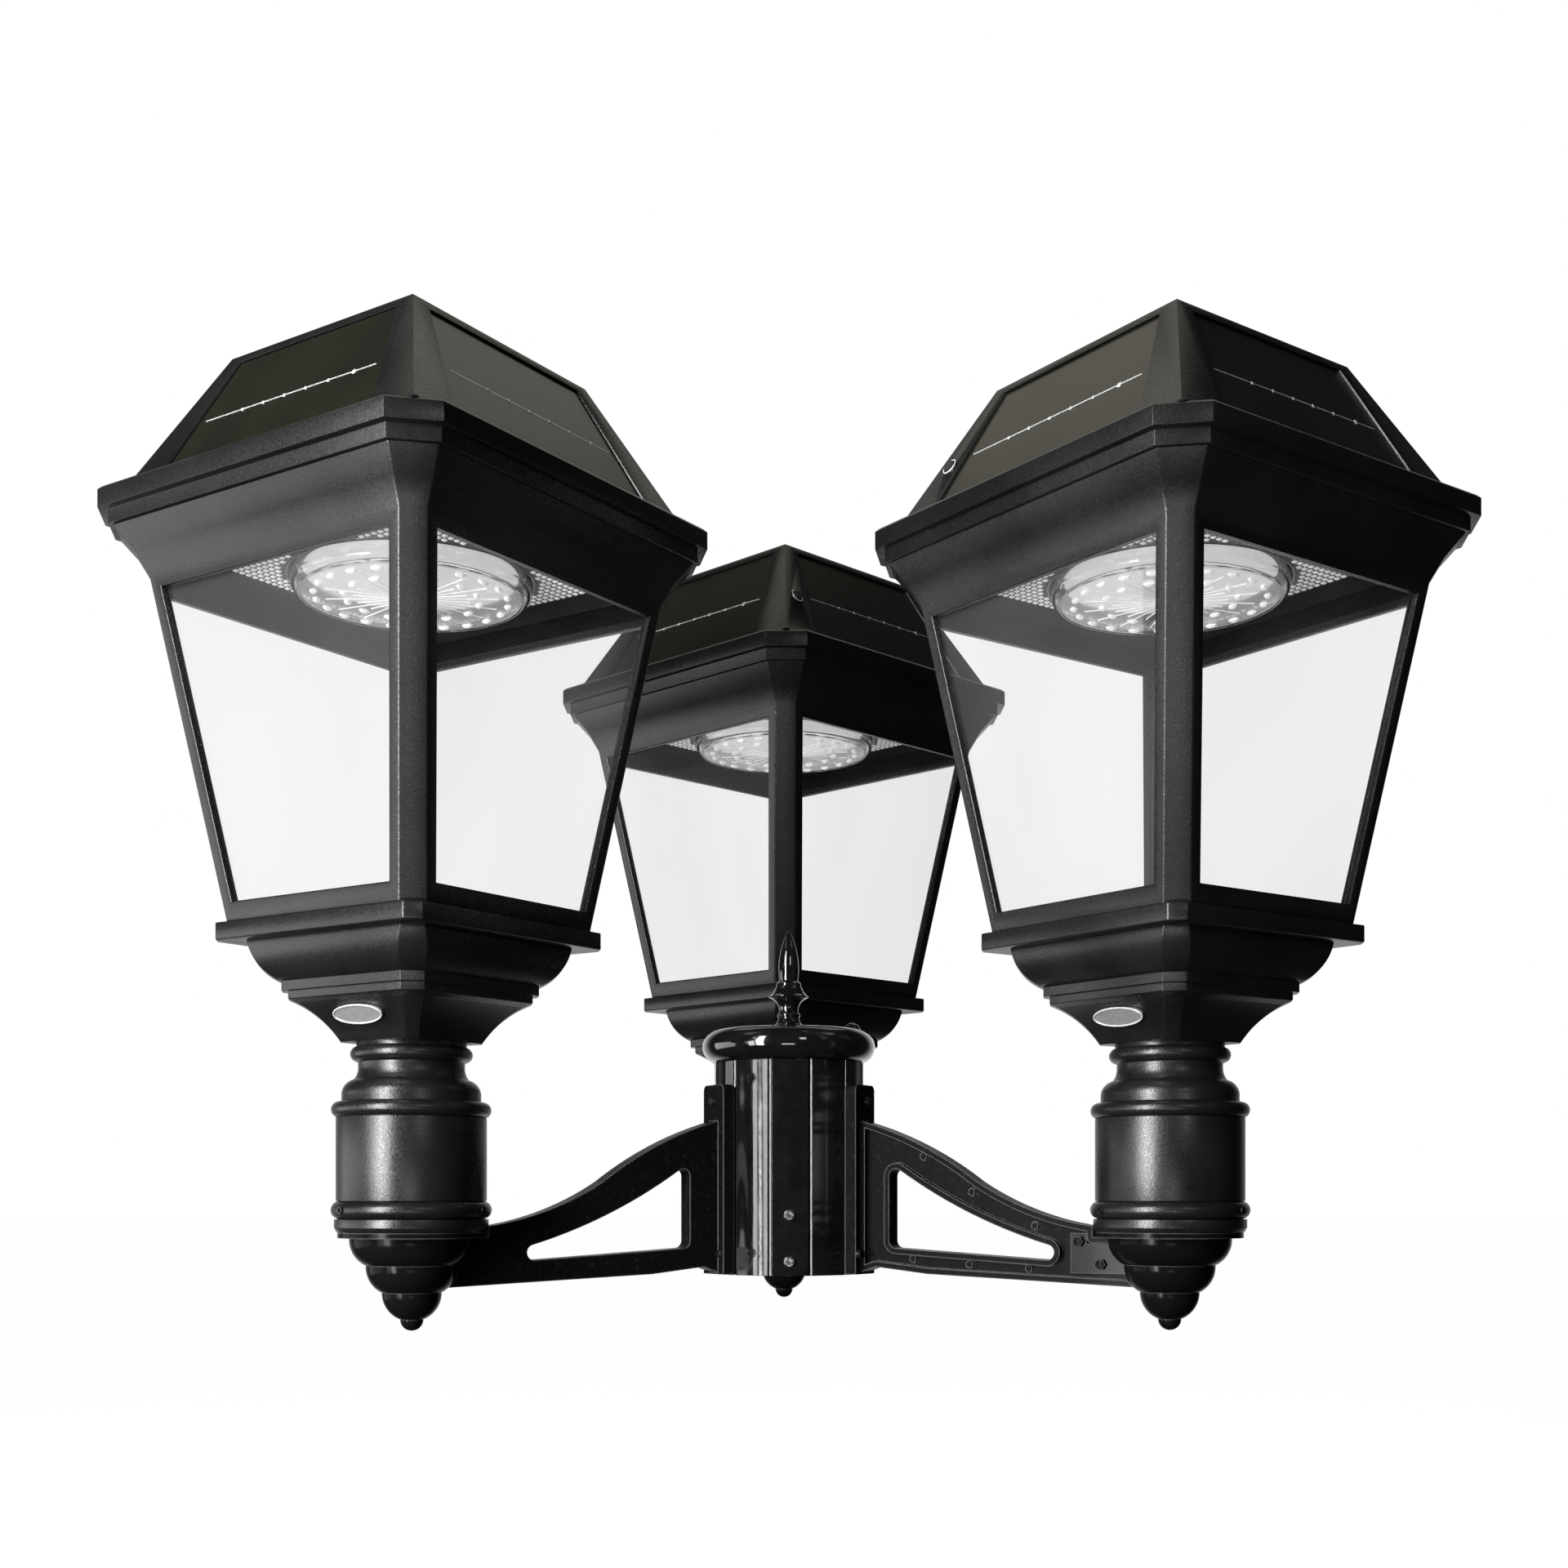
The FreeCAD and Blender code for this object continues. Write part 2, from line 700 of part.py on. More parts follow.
def offset(name, sketch, distance):
    edge = doc.addObject("Part::Offset2D", name)
    edge.Source = sketch
    bind(edge, Value=distance)
    edge.Join = 0
    return edge


def top_corners(edge):
    middle = edge.CenterOfMass
    along_x = abs(edge.tangentAt(edge.FirstParameter).x) > 0.99
    return along_x and middle.z > value("flange_height") - 1


def rounded(name, base, radius, chooser):
    doc.recompute()
    fillet = doc.addObject("Part::Fillet", name)
    fillet.Base = base
    fillet.Edges = [(i, radius, radius) for i, edge in enumerate(base.Shape.Edges, start=1)
                    if chooser(edge)]
    return fillet


# ---------------------------------------------------------------- lantern, about its own axis
def fitter_column():
    """Turned column: bore for the spigot, skirt bead with grub screws, collar, waist, neck."""
    bore = "spigot_radius + fit_clearance"
    foot = "seat_height + seat_gap"
    casting = turned_body("column_casting", [
        (bore, foot),
        ("band_radius - 1.6", foot),
        ("band_radius", "%s + 2.7" % foot),
        ("band_radius", "skirt_low - 0.3"),
        ("bead_large - skirt_bow + 0.1", "skirt_low", "skirt_bow", -1),
        ("bead_large - skirt_bow + 0.1", "skirt_high"),
        ("column_radius", "skirt_high"),
        ("column_radius", "collar_low - 0.2"),
        ("bead_large - collar_bow + 0.1", "collar_low", "collar_bow", -1),
        ("bead_large - collar_bow + 0.1", "collar_high"),
        ("column_shoulder", "collar_high"),
        ("column_shoulder", "shoulder_high", "10", -1),
        ("column_waist + 2.6", "waist_curve", "12", 1),
        ("column_waist", "waist_low"),
        ("column_waist", "neck_low - 0.6"),
        ("column_neck", "neck_low", "neck_bow", -1),
        ("column_neck", "neck_high"),
        ("column_neck", "column_top"),
        ("column_eye", "column_top"),
        ("column_eye", "spigot_top + column_lid * 2"),
        (bore, "spigot_top + column_lid")])
    holes = [cylinder("grub_hole_%d" % i, "grub_radius", "grub_length", *grub_seat(i))
             for i in range(3)]
    return cut("column_drilled", casting, group("grub_holes", holes))


def grub_seat(i):
    """Inner tip and outward direction of a grub screw; the tip stops short of the spigot."""
    angle = 45 + 120 * i
    return polar(value("spigot_radius + 1.2"), angle, value("grub_height")), polar(1, angle, 0)


def fitter_grubs():
    """Three grub screws in the skirt bead, each with a round socket."""
    screws = []
    for i in range(3):
        base, direction = grub_seat(i)
        mouth = base + direction * value("grub_length - grub_socket")
        screws.append(cut("grub_%d" % i,
                          cylinder("grub_%d_body" % i, "grub_radius", "grub_length", base,
                                   direction),
                          cylinder("grub_%d_socket" % i, "grub_radius * 0.55",
                                   "grub_socket + 1", mouth, direction)))
    return group("grub_set", screws)


def base_bell():
    """Square bell: quarter-round, two steps and a cove, hollow inside."""
    step = "bell_top - ovolo_drop"
    outer = square_block("bell_outer", [
        ("cove_half", "bell_cut * 0.6", "column_top", "cove_bow", 1),
        ("step_half - 0.2", "bell_cut", "%s - step_drop - 5" % step),
        ("step_half", "bell_cut", "%s - step_drop - 4.6" % step),
        ("step_half", "bell_cut", "%s - step_drop" % step),
        ("step_half + 2.8", "bell_cut", "%s - step_drop" % step),
        ("step_half + 2.8", "bell_cut", step),
        ("bell_low_half", "bell_cut", step, "ovolo_bow", -1),
        ("bell_half", "bell_cut", "bell_top")])
    inner = square_block("bell_inner", [
        ("cove_half - 12", "2", "column_top + wall"),
        ("step_half - 14", "4", "%s - step_drop" % step),
        ("bell_low_half - wall * 2", "6", step),
        ("bell_half - wall * 2", "6", "bell_top + 1")])
    eye = cylinder("bell_eye", "8", "wall * 3", V(0, 0, value("column_top") - 1))
    return cut("bell_casting", outer, join("bell_hollow", [inner, eye]))


def blank_badge(bell):
    """Plain oval plate on the cove of the -X face, trimmed to lie on it."""
    outline = doc.addObject("Part::Ellipse", "badge_outline")
    bind(outline, MajorRadius="badge_long", MinorRadius="badge_short")
    plate = doc.addObject("Part::Extrusion", "badge_plate")
    plate.Base = outline
    plate.DirMode = "Custom"
    plate.Dir = V(0, 0, 1)
    plate.Solid = True
    bind(plate, LengthFwd="badge_thickness", LengthRev="badge_thickness")
    lean = FreeCAD.Rotation(V(0, 1, 0), -90 - BADGE_LEAN)
    flat = FreeCAD.Rotation(V(0, 0, 1), 90)
    plate.Placement = FreeCAD.Placement(V(-value("badge_reach"), 0, value("badge_height")),
                                        lean.multiply(flat))
    return cut("badge_trimmed", plate, bell)


def base_plate():
    """Floor of the lantern, hollowed from below."""
    low = "bell_top"
    block = square_block("plate_block", [
        ("plate_half", "plate_cut", low),
        ("plate_half", "plate_cut", "%s + plate_height" % low)])
    hollow = square_block("plate_hollow", [
        ("plate_half - plate_rim", "plate_cut", "%s - 1" % low),
        ("plate_half - plate_rim", "plate_cut", "%s + plate_height - wall" % low)])
    return cut("plate_casting", block, hollow)


def frame_levels(inset, low, high):
    """Levels of the tapered frame and its cornice, moved in by an inset formula."""
    narrower = "%s * 0.586" % inset
    return [("frame_low_half - %s" % inset, "post_cut - %s" % narrower, low),
            ("frame_high_half - %s" % inset, "post_cut - %s" % narrower, "frame_high"),
            ("cornice_mid_half - %s" % inset, "(post_cut + cornice_cut) / 2 - %s" % narrower,
             "cornice_mid"),
            ("cornice_high_half - %s" % inset, "cornice_cut - %s" % narrower, high)]


def window_half(height):
    """Half width of the window at a height: the frame's half side less the post face."""
    slope = "(frame_high_half - frame_low_half) / (frame_high - bell_top - plate_height)"
    return "frame_low_half + %s * (%s - bell_top - plate_height) - post_face" % (slope, height)


def lantern_frame():
    """One casting: bottom rail, four corner posts, top rail and cornice."""
    low = "bell_top + plate_height"
    outer = square_block("frame_outer", frame_levels("0", low, "cornice_high"))
    inner = square_block("frame_inner", frame_levels("frame_wall", low, "cornice_high"))
    windows = crossed("frame_windows", [(window_half("window_low"), "window_low"),
                                        (window_half("window_high"), "window_high")])
    return cut("frame_casting", cut("frame_shell", outer, inner), windows)


def glass_panes():
    """Four tapered panes against the inside of the frame."""
    low = "bell_top + plate_height"
    sheet_low, sheet_high = "window_low - glass_lap", "window_high + glass_lap"
    outlines = crossed("pane_outlines", [
        ("%s + glass_lap" % window_half(sheet_low), sheet_low),
        ("%s + glass_lap" % window_half(sheet_high), sheet_high)])
    outer = square_block("pane_outer", frame_levels("frame_wall", low, "cornice_high")[:2])
    inner = square_block("pane_inner", frame_levels("(frame_wall + glass_thickness)", low,
                                                    "cornice_high")[:2])
    return common("pane_set", cut("pane_shell", outer, inner), outlines)


def ceiling_tray():
    """Pressed plate across the cornice with a round hole for the board."""
    low, high = "ceiling_height", "ceiling_height + tray_thickness"
    plate = square_block("tray_plate", [("ceiling_half", "ceiling_cut", low),
                                        ("ceiling_half", "ceiling_cut", high)])
    hole = cylinder("tray_hole", "board_radius", "tray_thickness * 3",
                    V(0, 0, value("ceiling_height - tray_thickness")))
    return cut("tray_pressing", plate, hole)


def diffuser():
    """Square plate under the tray with a round hole for the lens."""
    low = "ceiling_height - diffuser_thickness"
    plate = square_block("diffuser_plate", [("diffuser_half", "2", low),
                                            ("diffuser_half", "2", "ceiling_height")])
    hole = cylinder("diffuser_hole", "lens_radius + 0.5", "diffuser_thickness * 3",
                    V(0, 0, value("ceiling_height - diffuser_thickness * 2")))
    return cut("diffuser_moulding", plate, hole)


def lens_dome():
    """Shallow round cup under the board."""
    low, high = "ceiling_height - lens_drop", "ceiling_height"
    inner = "lens_radius - lens_wall"
    return turned_body("lens_moulding", [
        ("0", low),
        ("lens_radius - lens_bow", low, "lens_bow", -1),
        ("lens_radius", "%s + lens_bow" % low),
        ("lens_radius", high),
        (inner, high),
        (inner, "%s + lens_bow" % low, "lens_bow - 2", 1),
        ("%s - lens_bow + 2" % inner, "%s + lens_wall" % low),
        ("0", "%s + lens_wall" % low)])


def led_board():
    """Round board in the hole of the tray with two rings of chips under it."""
    board_low = value("ceiling_height")
    pieces = [cylinder("led_disc", "board_radius", "board_thickness", V(0, 0, board_low))]
    for ring, count in CHIP_RINGS.items():
        for i in range(count):
            place = polar(value(ring), 360.0 * i / count, board_low - value("chip_height"))
            pieces.append(cylinder("chip_%s_%d" % (ring, i), "chip_radius", "chip_height",
                                   place))
    return join("led_module_built", pieces)


def battery_pack():
    """Holder on the tray with three round cells lying in it."""
    floor = "ceiling_height + tray_thickness"
    holder = box("battery_holder",
                 ("-holder_half", "-holder_half_length", floor),
                 ("holder_half", "holder_half_length", floor + " + holder_height"))
    cells = []
    height = value(floor + " + holder_height + cell_radius")
    for i in range(3):
        across = (i - 1) * value("2 * cell_radius + cell_gap")
        cells.append(cylinder("cell_%d" % i, "cell_radius", "cell_length",
                              V(across, -value("cell_length") / 2, height), V(0, 1, 0)))
    return group("battery_set", [holder] + cells)


def roof_levels(inset):
    """Levels of the hip roof above the eave, moved in by an inset formula; sharp hips."""
    return [("roof_half - %s" % inset, "hip_cut", "eave_high"),
            ("roof_top_half - %s" % inset, "hip_cut", "roof_high")]


def panel_outline(gap):
    """Right-hand corners of a panel seen square on, moved in by a gap formula."""
    return [("panel_low_half - %s" % gap, "panel_low + %s" % gap),
            ("panel_high_half - %s" % gap, "panel_high - %s" % gap)]


def button_place():
    """Seat of the button on the roof slope, and the outward normal there."""
    run = value("roof_half - roof_top_half")
    rise = value("roof_high - eave_high")
    part = value("(button_height - eave_high) / (roof_high - eave_high)")
    seat = V(-value("roof_half") + run * part, value("button_side"), value("button_height"))
    return seat, V(-rise, 0, run).normalize()


def roof_shell():
    """Hip roof, hollow, with a cut-cornered eave, a panel bed in each slope and a lid."""
    rim = square_block("roof_rim", [
        ("under_half", "under_cut", "cornice_high"),
        ("under_half", "under_cut", "eave_low"),
        ("eave_half", "eave_cut", "eave_low"),
        ("eave_half", "eave_cut", "eave_high - 2"),
        ("eave_half - 2", "eave_cut", "eave_high")])
    hip = square_block("roof_hip", roof_levels("0"))
    lid = square_block("roof_lid", [("lid_half", "4", "roof_high"),
                                    ("lid_half - 2", "4", "roof_high + lid_height")])
    bed = cut("panel_beds",
              common("bed_slopes", crossed("bed_outlines", panel_outline("0")), hip),
              square_block("bed_floor", roof_levels("panel_depth")))
    hollow = square_block("roof_hollow", [
        ("under_half - 6", "under_cut - 3", "cornice_high - 1"),
        ("under_half - 6", "under_cut - 3", "eave_low"),
        ("roof_half - roof_wall", "2", "eave_high"),
        ("roof_top_half - roof_wall", "2", "roof_high - wall")])
    seat, normal = button_place()
    bezel = cylinder("button_bezel", "bezel_radius", "bezel_stand + 4", seat - normal * 4, normal)
    hole = cylinder("button_hole", "button_radius + button_gap", "30", seat - normal * 15, normal)
    well = cylinder("button_well", "button_radius + 2.2", "20", seat - normal * 23.5, normal)
    skin = cut("roof_skin", join("roof_mass", [rim, hip, lid]), bed)
    return cut("roof_casting", join("roof_with_bezel", [cut("roof_hollowed", skin, hollow), bezel]),
               join("button_ways", [hole, well]))


def solar_panels():
    """Four laminates lying on the beds, set just below the roof's skin."""
    slopes = common("panel_slopes", crossed("panel_outlines", panel_outline("panel_gap")),
                    square_block("panel_face", roof_levels("panel_sink")))
    return cut("panel_set", slopes, square_block("panel_back", roof_levels("panel_depth")))


def power_button():
    """Push button: a stem through the slope and a collar that keeps it in."""
    seat, normal = button_place()
    foot = seat + normal * value("button_stand - button_length")
    stem = cylinder("button_stem", "button_radius", "button_length", foot, normal)
    collar = cylinder("button_collar", "button_radius + collar_stand", "collar_thickness",
                      foot, normal)
    return join("button_piece", [stem, collar])


# ---------------------------------------------------------------- assembly
def build_hub():
    screws, plugs, bolts = hub_fasteners()
    node("hub_body", hub_casting([screws, plugs, bolts]))
    node("hub_cap", hub_cap())
    stud = finial_stud()
    node("finial_stud", stud)
    node("hub_finial", hub_finial())
    node("pole_set_screws", screws)
    node("flush_plugs", plugs)
    node("arm_flange_bolts", bolts)


def build_arms():
    to_end = FreeCAD.Placement(V(value("arm_reach"), 0, 0), FreeCAD.Rotation())
    reach_cup = group("cup_at_reach", [acorn("acorn_round", False)])
    reach_cup.Placement = to_end
    lug_bolts = cup_bolts()
    flange_holes = []
    for i, (across, height) in enumerate(FLANGE_BOLTS):
        flange_holes.append(cylinder("flange_hole_%d" % i, "bolt_radius", "flange_bolt_length",
                                     V(value("hub_apothem - 1"), across, height),
                                     V(1, 0, 0)))
    arm = arm_casting(reach_cup, lug_bolts + flange_holes)
    cup_source = group("cup_source", [acorn("acorn_casting", True)])
    cup_source.Placement = to_end
    cup = cut("cup_drilled", cup_source, group("lug_bolt_set", lug_bolts))
    placed = []
    for name, angle in ARM_ANGLES.items():
        turn = FreeCAD.Placement(V(0, 0, 0), FreeCAD.Rotation(V(0, 0, 1), angle))
        node("arm_" + name, arm, turn)
        node("acorn_cup_" + name, cup, turn)
        bolts = group("cup_bolts_at_" + name, lug_bolts)
        bolts.Placement = turn
        placed.append(bolts)
    node("cup_lug_bolts", group("cup_bolts_all", placed))


def build_lanterns():
    bell = base_bell()
    turned = {"roof_shell": roof_shell(), "power_button": power_button()}
    fixed = {
        "solar_panels": solar_panels(),
        "frame": lantern_frame(),
        "glass_panes": glass_panes(),
        "ceiling_tray": ceiling_tray(),
        "diffuser": diffuser(),
        "lens_dome": lens_dome(),
        "led_board": led_board(),
        "battery_pack": battery_pack(),
        "base_plate": base_plate(),
        "base_bell": bell,
        "badge": blank_badge(bell),
        "fitter_column": fitter_column(),
        "grub_screws": fitter_grubs(),
    }
    for name, angle in ARM_ANGLES.items():
        axis = polar(value("arm_reach"), angle, 0)
        yaw = 45 + LANTERN_YAW[name]
        for pieces, extra in ((turned, 90 * ROOF_TURNS[name]), (fixed, 0)):
            turn = FreeCAD.Rotation(V(0, 0, 1), yaw + extra)
            for piece, source in pieces.items():
                node("%s_%s" % (name, piece), source, FreeCAD.Placement(axis, turn))


def check_and_export():
    doc.recompute()
    for obj in doc.Objects:
        if "Invalid" in obj.State or "Error" in obj.State:
            raise RuntimeError("%s failed to recompute" % obj.Name)
    os.makedirs("parts", exist_ok=True)
    for part in nodes:
        if part.Shape.isNull() or not part.Shape.isValid():
            raise RuntimeError("%s has no valid shape" % part.Label)
    for part in nodes:
        part.Shape.exportStep("parts/%s.step" % part.Label)


build_hub()
build_arms()
build_lanterns()
check_and_export()
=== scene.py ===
import json
import math

import bmesh
import bpy
from mathutils import Matrix, Vector

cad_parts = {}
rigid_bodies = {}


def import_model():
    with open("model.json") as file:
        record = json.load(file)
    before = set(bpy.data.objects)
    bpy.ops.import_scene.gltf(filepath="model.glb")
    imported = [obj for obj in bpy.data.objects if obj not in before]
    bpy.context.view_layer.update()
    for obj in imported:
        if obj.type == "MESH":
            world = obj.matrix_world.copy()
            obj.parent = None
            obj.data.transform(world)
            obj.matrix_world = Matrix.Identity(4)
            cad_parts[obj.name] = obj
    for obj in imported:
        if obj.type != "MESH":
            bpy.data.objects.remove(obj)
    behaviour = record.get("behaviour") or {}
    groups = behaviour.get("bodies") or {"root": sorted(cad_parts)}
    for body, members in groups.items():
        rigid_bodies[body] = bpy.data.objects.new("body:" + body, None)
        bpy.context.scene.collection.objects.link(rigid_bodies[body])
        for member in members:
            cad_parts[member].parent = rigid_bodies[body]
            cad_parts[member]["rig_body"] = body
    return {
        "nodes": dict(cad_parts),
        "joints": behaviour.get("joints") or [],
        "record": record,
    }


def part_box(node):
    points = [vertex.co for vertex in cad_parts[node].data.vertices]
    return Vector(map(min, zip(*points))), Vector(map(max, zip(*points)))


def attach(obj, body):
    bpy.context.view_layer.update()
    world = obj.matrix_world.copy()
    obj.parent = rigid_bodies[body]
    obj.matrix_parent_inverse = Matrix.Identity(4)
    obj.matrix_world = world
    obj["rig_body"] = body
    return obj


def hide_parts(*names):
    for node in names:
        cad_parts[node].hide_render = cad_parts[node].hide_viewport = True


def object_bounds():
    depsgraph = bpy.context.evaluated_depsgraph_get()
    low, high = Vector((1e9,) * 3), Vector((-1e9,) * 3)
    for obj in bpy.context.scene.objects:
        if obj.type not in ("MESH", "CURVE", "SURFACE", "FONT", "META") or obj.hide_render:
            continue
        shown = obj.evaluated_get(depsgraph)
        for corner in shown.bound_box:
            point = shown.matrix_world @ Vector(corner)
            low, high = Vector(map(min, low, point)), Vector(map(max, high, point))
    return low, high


# Looks of a three-lantern post top. Metres; +Z up; the origin is the mouth of the pole socket.
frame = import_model()
cad_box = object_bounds()
MM = 0.001
NAMES = ("left", "right", "rear")
HUB_SIDES = 12


# ---------------------------------------------------------------- where the lanterns stand
def joint(name):
    """The record's entry for one joint."""
    return [entry for entry in frame["joints"] if entry["name"] == name][0]


def lantern_matrix(name):
    """Frame about a lantern's axis, +X along the run of one roof slope."""
    place = joint("swivel_" + name)["pos_m"]
    inward = joint("press_" + name)["axis"]
    yaw = math.atan2(inward[1], inward[0])
    spot = Matrix.Translation(Vector((place[0], place[1], 0.0)))
    return spot @ Matrix.Rotation(yaw, 4, "Z")


# ---------------------------------------------------------------- mesh helpers
WELD_DISTANCE = 0.002 * MM
FLAT_ANGLE, SHARP_ANGLE, SHADE_ANGLE, ROUND_ANGLE = 0.4, 24.0, 32.0, 60.0


def new_piece(name, bm, material, body, matrix=None):
    """An object made of bm, riding on a body; matrix places its mesh."""
    mesh = bpy.data.meshes.new(name)
    bm.to_mesh(mesh)
    bm.free()
    if matrix is not None:
        mesh.transform(matrix)
    mesh.materials.append(material)
    piece = bpy.data.objects.new(name, mesh)
    bpy.context.scene.collection.objects.link(piece)
    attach(piece, body)
    return piece


def smooth_by_angle(mesh, degrees=SHADE_ANGLE):
    """Smooth shading that breaks at sharp edges."""
    for face in mesh.polygons:
        face.use_smooth = True
    mesh.set_sharp_from_angle(angle=math.radians(degrees))


def rounded_copy(node, width, material, segments=2):
    """A copy of a CAD node with flat faces merged and sharp edges rounded; it stands for the node."""
    source = frame["nodes"][node]
    bm = bmesh.new()
    bm.from_mesh(source.data)
    bmesh.ops.remove_doubles(bm, verts=bm.verts, dist=WELD_DISTANCE)
    bmesh.ops.dissolve_limit(bm, angle_limit=math.radians(FLAT_ANGLE), verts=bm.verts,
                             edges=bm.edges)
    sharp = [edge for edge in bm.edges
             if len(edge.link_faces) == 2
             and edge.calc_face_angle(0.0) > math.radians(SHARP_ANGLE)]
    bmesh.ops.bevel(bm, geom=sharp, offset=width, offset_type="OFFSET", segments=segments,
                    profile=0.5, affect="EDGES", clamp_overlap=True, loop_slide=True)
    body = source["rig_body"]
    piece = new_piece(node + "_finished", bm, material, body)
    smooth_by_angle(piece.data)
    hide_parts(node)
    return piece


def slot_of(node):
    """The record's material slot of a CAD node."""
    for part in frame["record"]["subparts"]:
        if part["node"] == node:
            return part["material_slot"]
    raise KeyError(node)


# ---------------------------------------------------------------- material helpers
class Nodes:
    """Short calls for building one material's nodes."""

    def __init__(self, name):
        self.material = bpy.data.materials.new(name)
        self.material.use_nodes = True
        self.tree = self.material.node_tree
        self.shader = self.tree.nodes["Principled BSDF"]
        coords = self.tree.nodes.new("ShaderNodeTexCoord")
        self.place = coords.outputs["Object"]

    def set(self, **values):
        for key, value in values.items():
            self.shader.inputs[key.replace("_", " ")].default_value = value
        return self

    def link(self, a, b):
        self.tree.links.new(a, b)

    def noise(self, scale, detail=2.0, rough=0.5, stretch=None):
        node = self.tree.nodes.new("ShaderNodeTexNoise")
        node.inputs["Scale"].default_value = scale
        node.inputs["Detail"].default_value = detail
        node.inputs["Roughness"].default_value = rough
        place = self.place
        if stretch:
            mapping = self.tree.nodes.new("ShaderNodeMapping")
            mapping.inputs["Scale"].default_value = stretch
            self.link(place, mapping.inputs["Vector"])
            place = mapping.outputs["Vector"]
        self.link(place, node.inputs["Vector"])
        return node.outputs["Fac"]

    def math(self, operation, first, second=None):
        node = self.tree.nodes.new("ShaderNodeMath")
        node.operation = operation
        for socket, entry in zip(node.inputs, (first, second)):
            if isinstance(entry, (int, float)):
                socket.default_value = entry
            elif entry is not None:
                self.link(entry, socket)
        return node.outputs["Value"]

    def edges(self, radius):
        """One along rounded edges, nought on flats: the mask of a painted edge highlight."""
        bevel = self.tree.nodes.new("ShaderNodeBevel")
        bevel.samples = 4
        bevel.inputs["Radius"].default_value = radius
        true = self.tree.nodes.new("ShaderNodeNewGeometry")
        dot = self.tree.nodes.new("ShaderNodeVectorMath")
        dot.operation = "DOT_PRODUCT"
        self.link(bevel.outputs["Normal"], dot.inputs[0])
        self.link(true.outputs["Normal"], dot.inputs[1])
        return self.math("SUBTRACT", 1.0, dot.outputs["Value"])

    def crown(self, sides):
        """Height that swells in the middle of each flat of an upright prism."""
        split = self.tree.nodes.new("ShaderNodeSeparateXYZ")
        self.link(self.place, split.inputs[0])
        around = self.math("ARCTAN2", split.outputs["Y"], split.outputs["X"])
        return self.math("COSINE", self.math("MULTIPLY", around, float(sides)))

    def ramp(self, source, low, high, start=0.35, end=0.65):
        """Map a grey value to a run between two colours or two numbers."""
        if isinstance(low, (int, float)):
            node = self.tree.nodes.new("ShaderNodeMapRange")
            node.inputs["From Min"].default_value = start
            node.inputs["From Max"].default_value = end
            node.inputs["To Min"].default_value = low
            node.inputs["To Max"].default_value = high
            self.link(source, node.inputs["Value"])
            return node.outputs["Result"]
        node = self.tree.nodes.new("ShaderNodeValToRGB")
        node.color_ramp.elements[0].position = start
        node.color_ramp.elements[0].color = (*low, 1.0)
        node.color_ramp.elements[1].position = end
        node.color_ramp.elements[1].color = (*high, 1.0)
        self.link(source, node.inputs["Fac"])
        return node.outputs["Color"]

    def bump(self, *layers, round_edge=0.0):
        """Stack bumps, each (height, strength, distance), over rounded edges if asked."""
        normal = None
        if round_edge > 0:
            node = self.tree.nodes.new("ShaderNodeBevel")
            node.samples = 4
            node.inputs["Radius"].default_value = round_edge
            normal = node.outputs["Normal"]
        for height, strength, distance in layers:
            node = self.tree.nodes.new("ShaderNodeBump")
            node.inputs["Strength"].default_value = strength
            node.inputs["Distance"].default_value = distance
            self.link(height, node.inputs["Height"])
            if normal is not None:
                self.link(normal, node.inputs["Normal"])
            normal = node.outputs["Normal"]
        self.link(normal, self.shader.inputs["Normal"])
        return self

    def paint(self, source, socket="Base Color"):
        self.link(source, self.shader.inputs[socket])
        return self


def satin_powder():
    """Black powder coat: fine hammered grain, a little cloudiness, satin shine."""
    n = Nodes("satin_powder")
    grain = n.noise(900.0, 3.0, 0.6)
    cloud = n.noise(22.0, 3.0)
    n.paint(n.ramp(cloud, (0.006, 0.006, 0.0063), (0.011, 0.011, 0.011)))
    n.paint(n.ramp(grain, 0.24, 0.38), "Roughness")
    n.set(Specular_IOR_Level=0.62)
    return n.bump((grain, 0.45, MM * 0.26), round_edge=MM * 0.5).material


def enamel(name, wave_scale, wave_strength, rough, shine, coat, crowned=False, edge_highlight_and_mottle=0.0,
           pitted=0.0):
    """Black enamel on a casting: slow upright waves under a hard shine.

    worn is the grey of a painted highlight along its rounded edges, and of the mottle that pitted
    spreads over the skin between them.
    """
    n = Nodes(name)
    waves = n.noise(wave_scale, 1.0, 0.4, stretch=(1, 1, 0.13))
    peel = n.noise(420.0, 2.0)
    dust = n.noise(60.0, 4.0, 0.7)
    if edge_highlight_and_mottle > 0:
        skin = n.math("MULTIPLY", n.noise(260.0, 4.0, 0.7), pitted)
        # painted highlight: rounded edges lightened in the colour, added to the real mottle of the
        # skin
        edge_highlight_and_mottle_mask = n.math("ADD", n.edges(MM * 1.3), skin)
        n.paint(n.ramp(edge_highlight_and_mottle_mask, (0.005, 0.005, 0.0055), (edge_highlight_and_mottle, edge_highlight_and_mottle, edge_highlight_and_mottle), 0.04, 0.25))
    else:
        n.paint(n.ramp(dust, (0.0035, 0.0035, 0.004), (0.007, 0.007, 0.0075)))
    n.paint(n.ramp(dust, rough, rough * 1.6), "Roughness")
    n.set(Specular_IOR_Level=shine, Coat_Weight=coat, Coat_Roughness=0.05)
    layers = [(waves, wave_strength, MM * 1.2), (peel, 0.04, MM * 0.2)]
    if crowned:
        layers.append((n.crown(HUB_SIDES), 1.0, MM * 0.55))
    return n.bump(*layers, round_edge=MM * 0.8).material


def gloss_enamel():
    return enamel("gloss_enamel", 55.0, 0.05, 0.06, 0.8, 1.0)


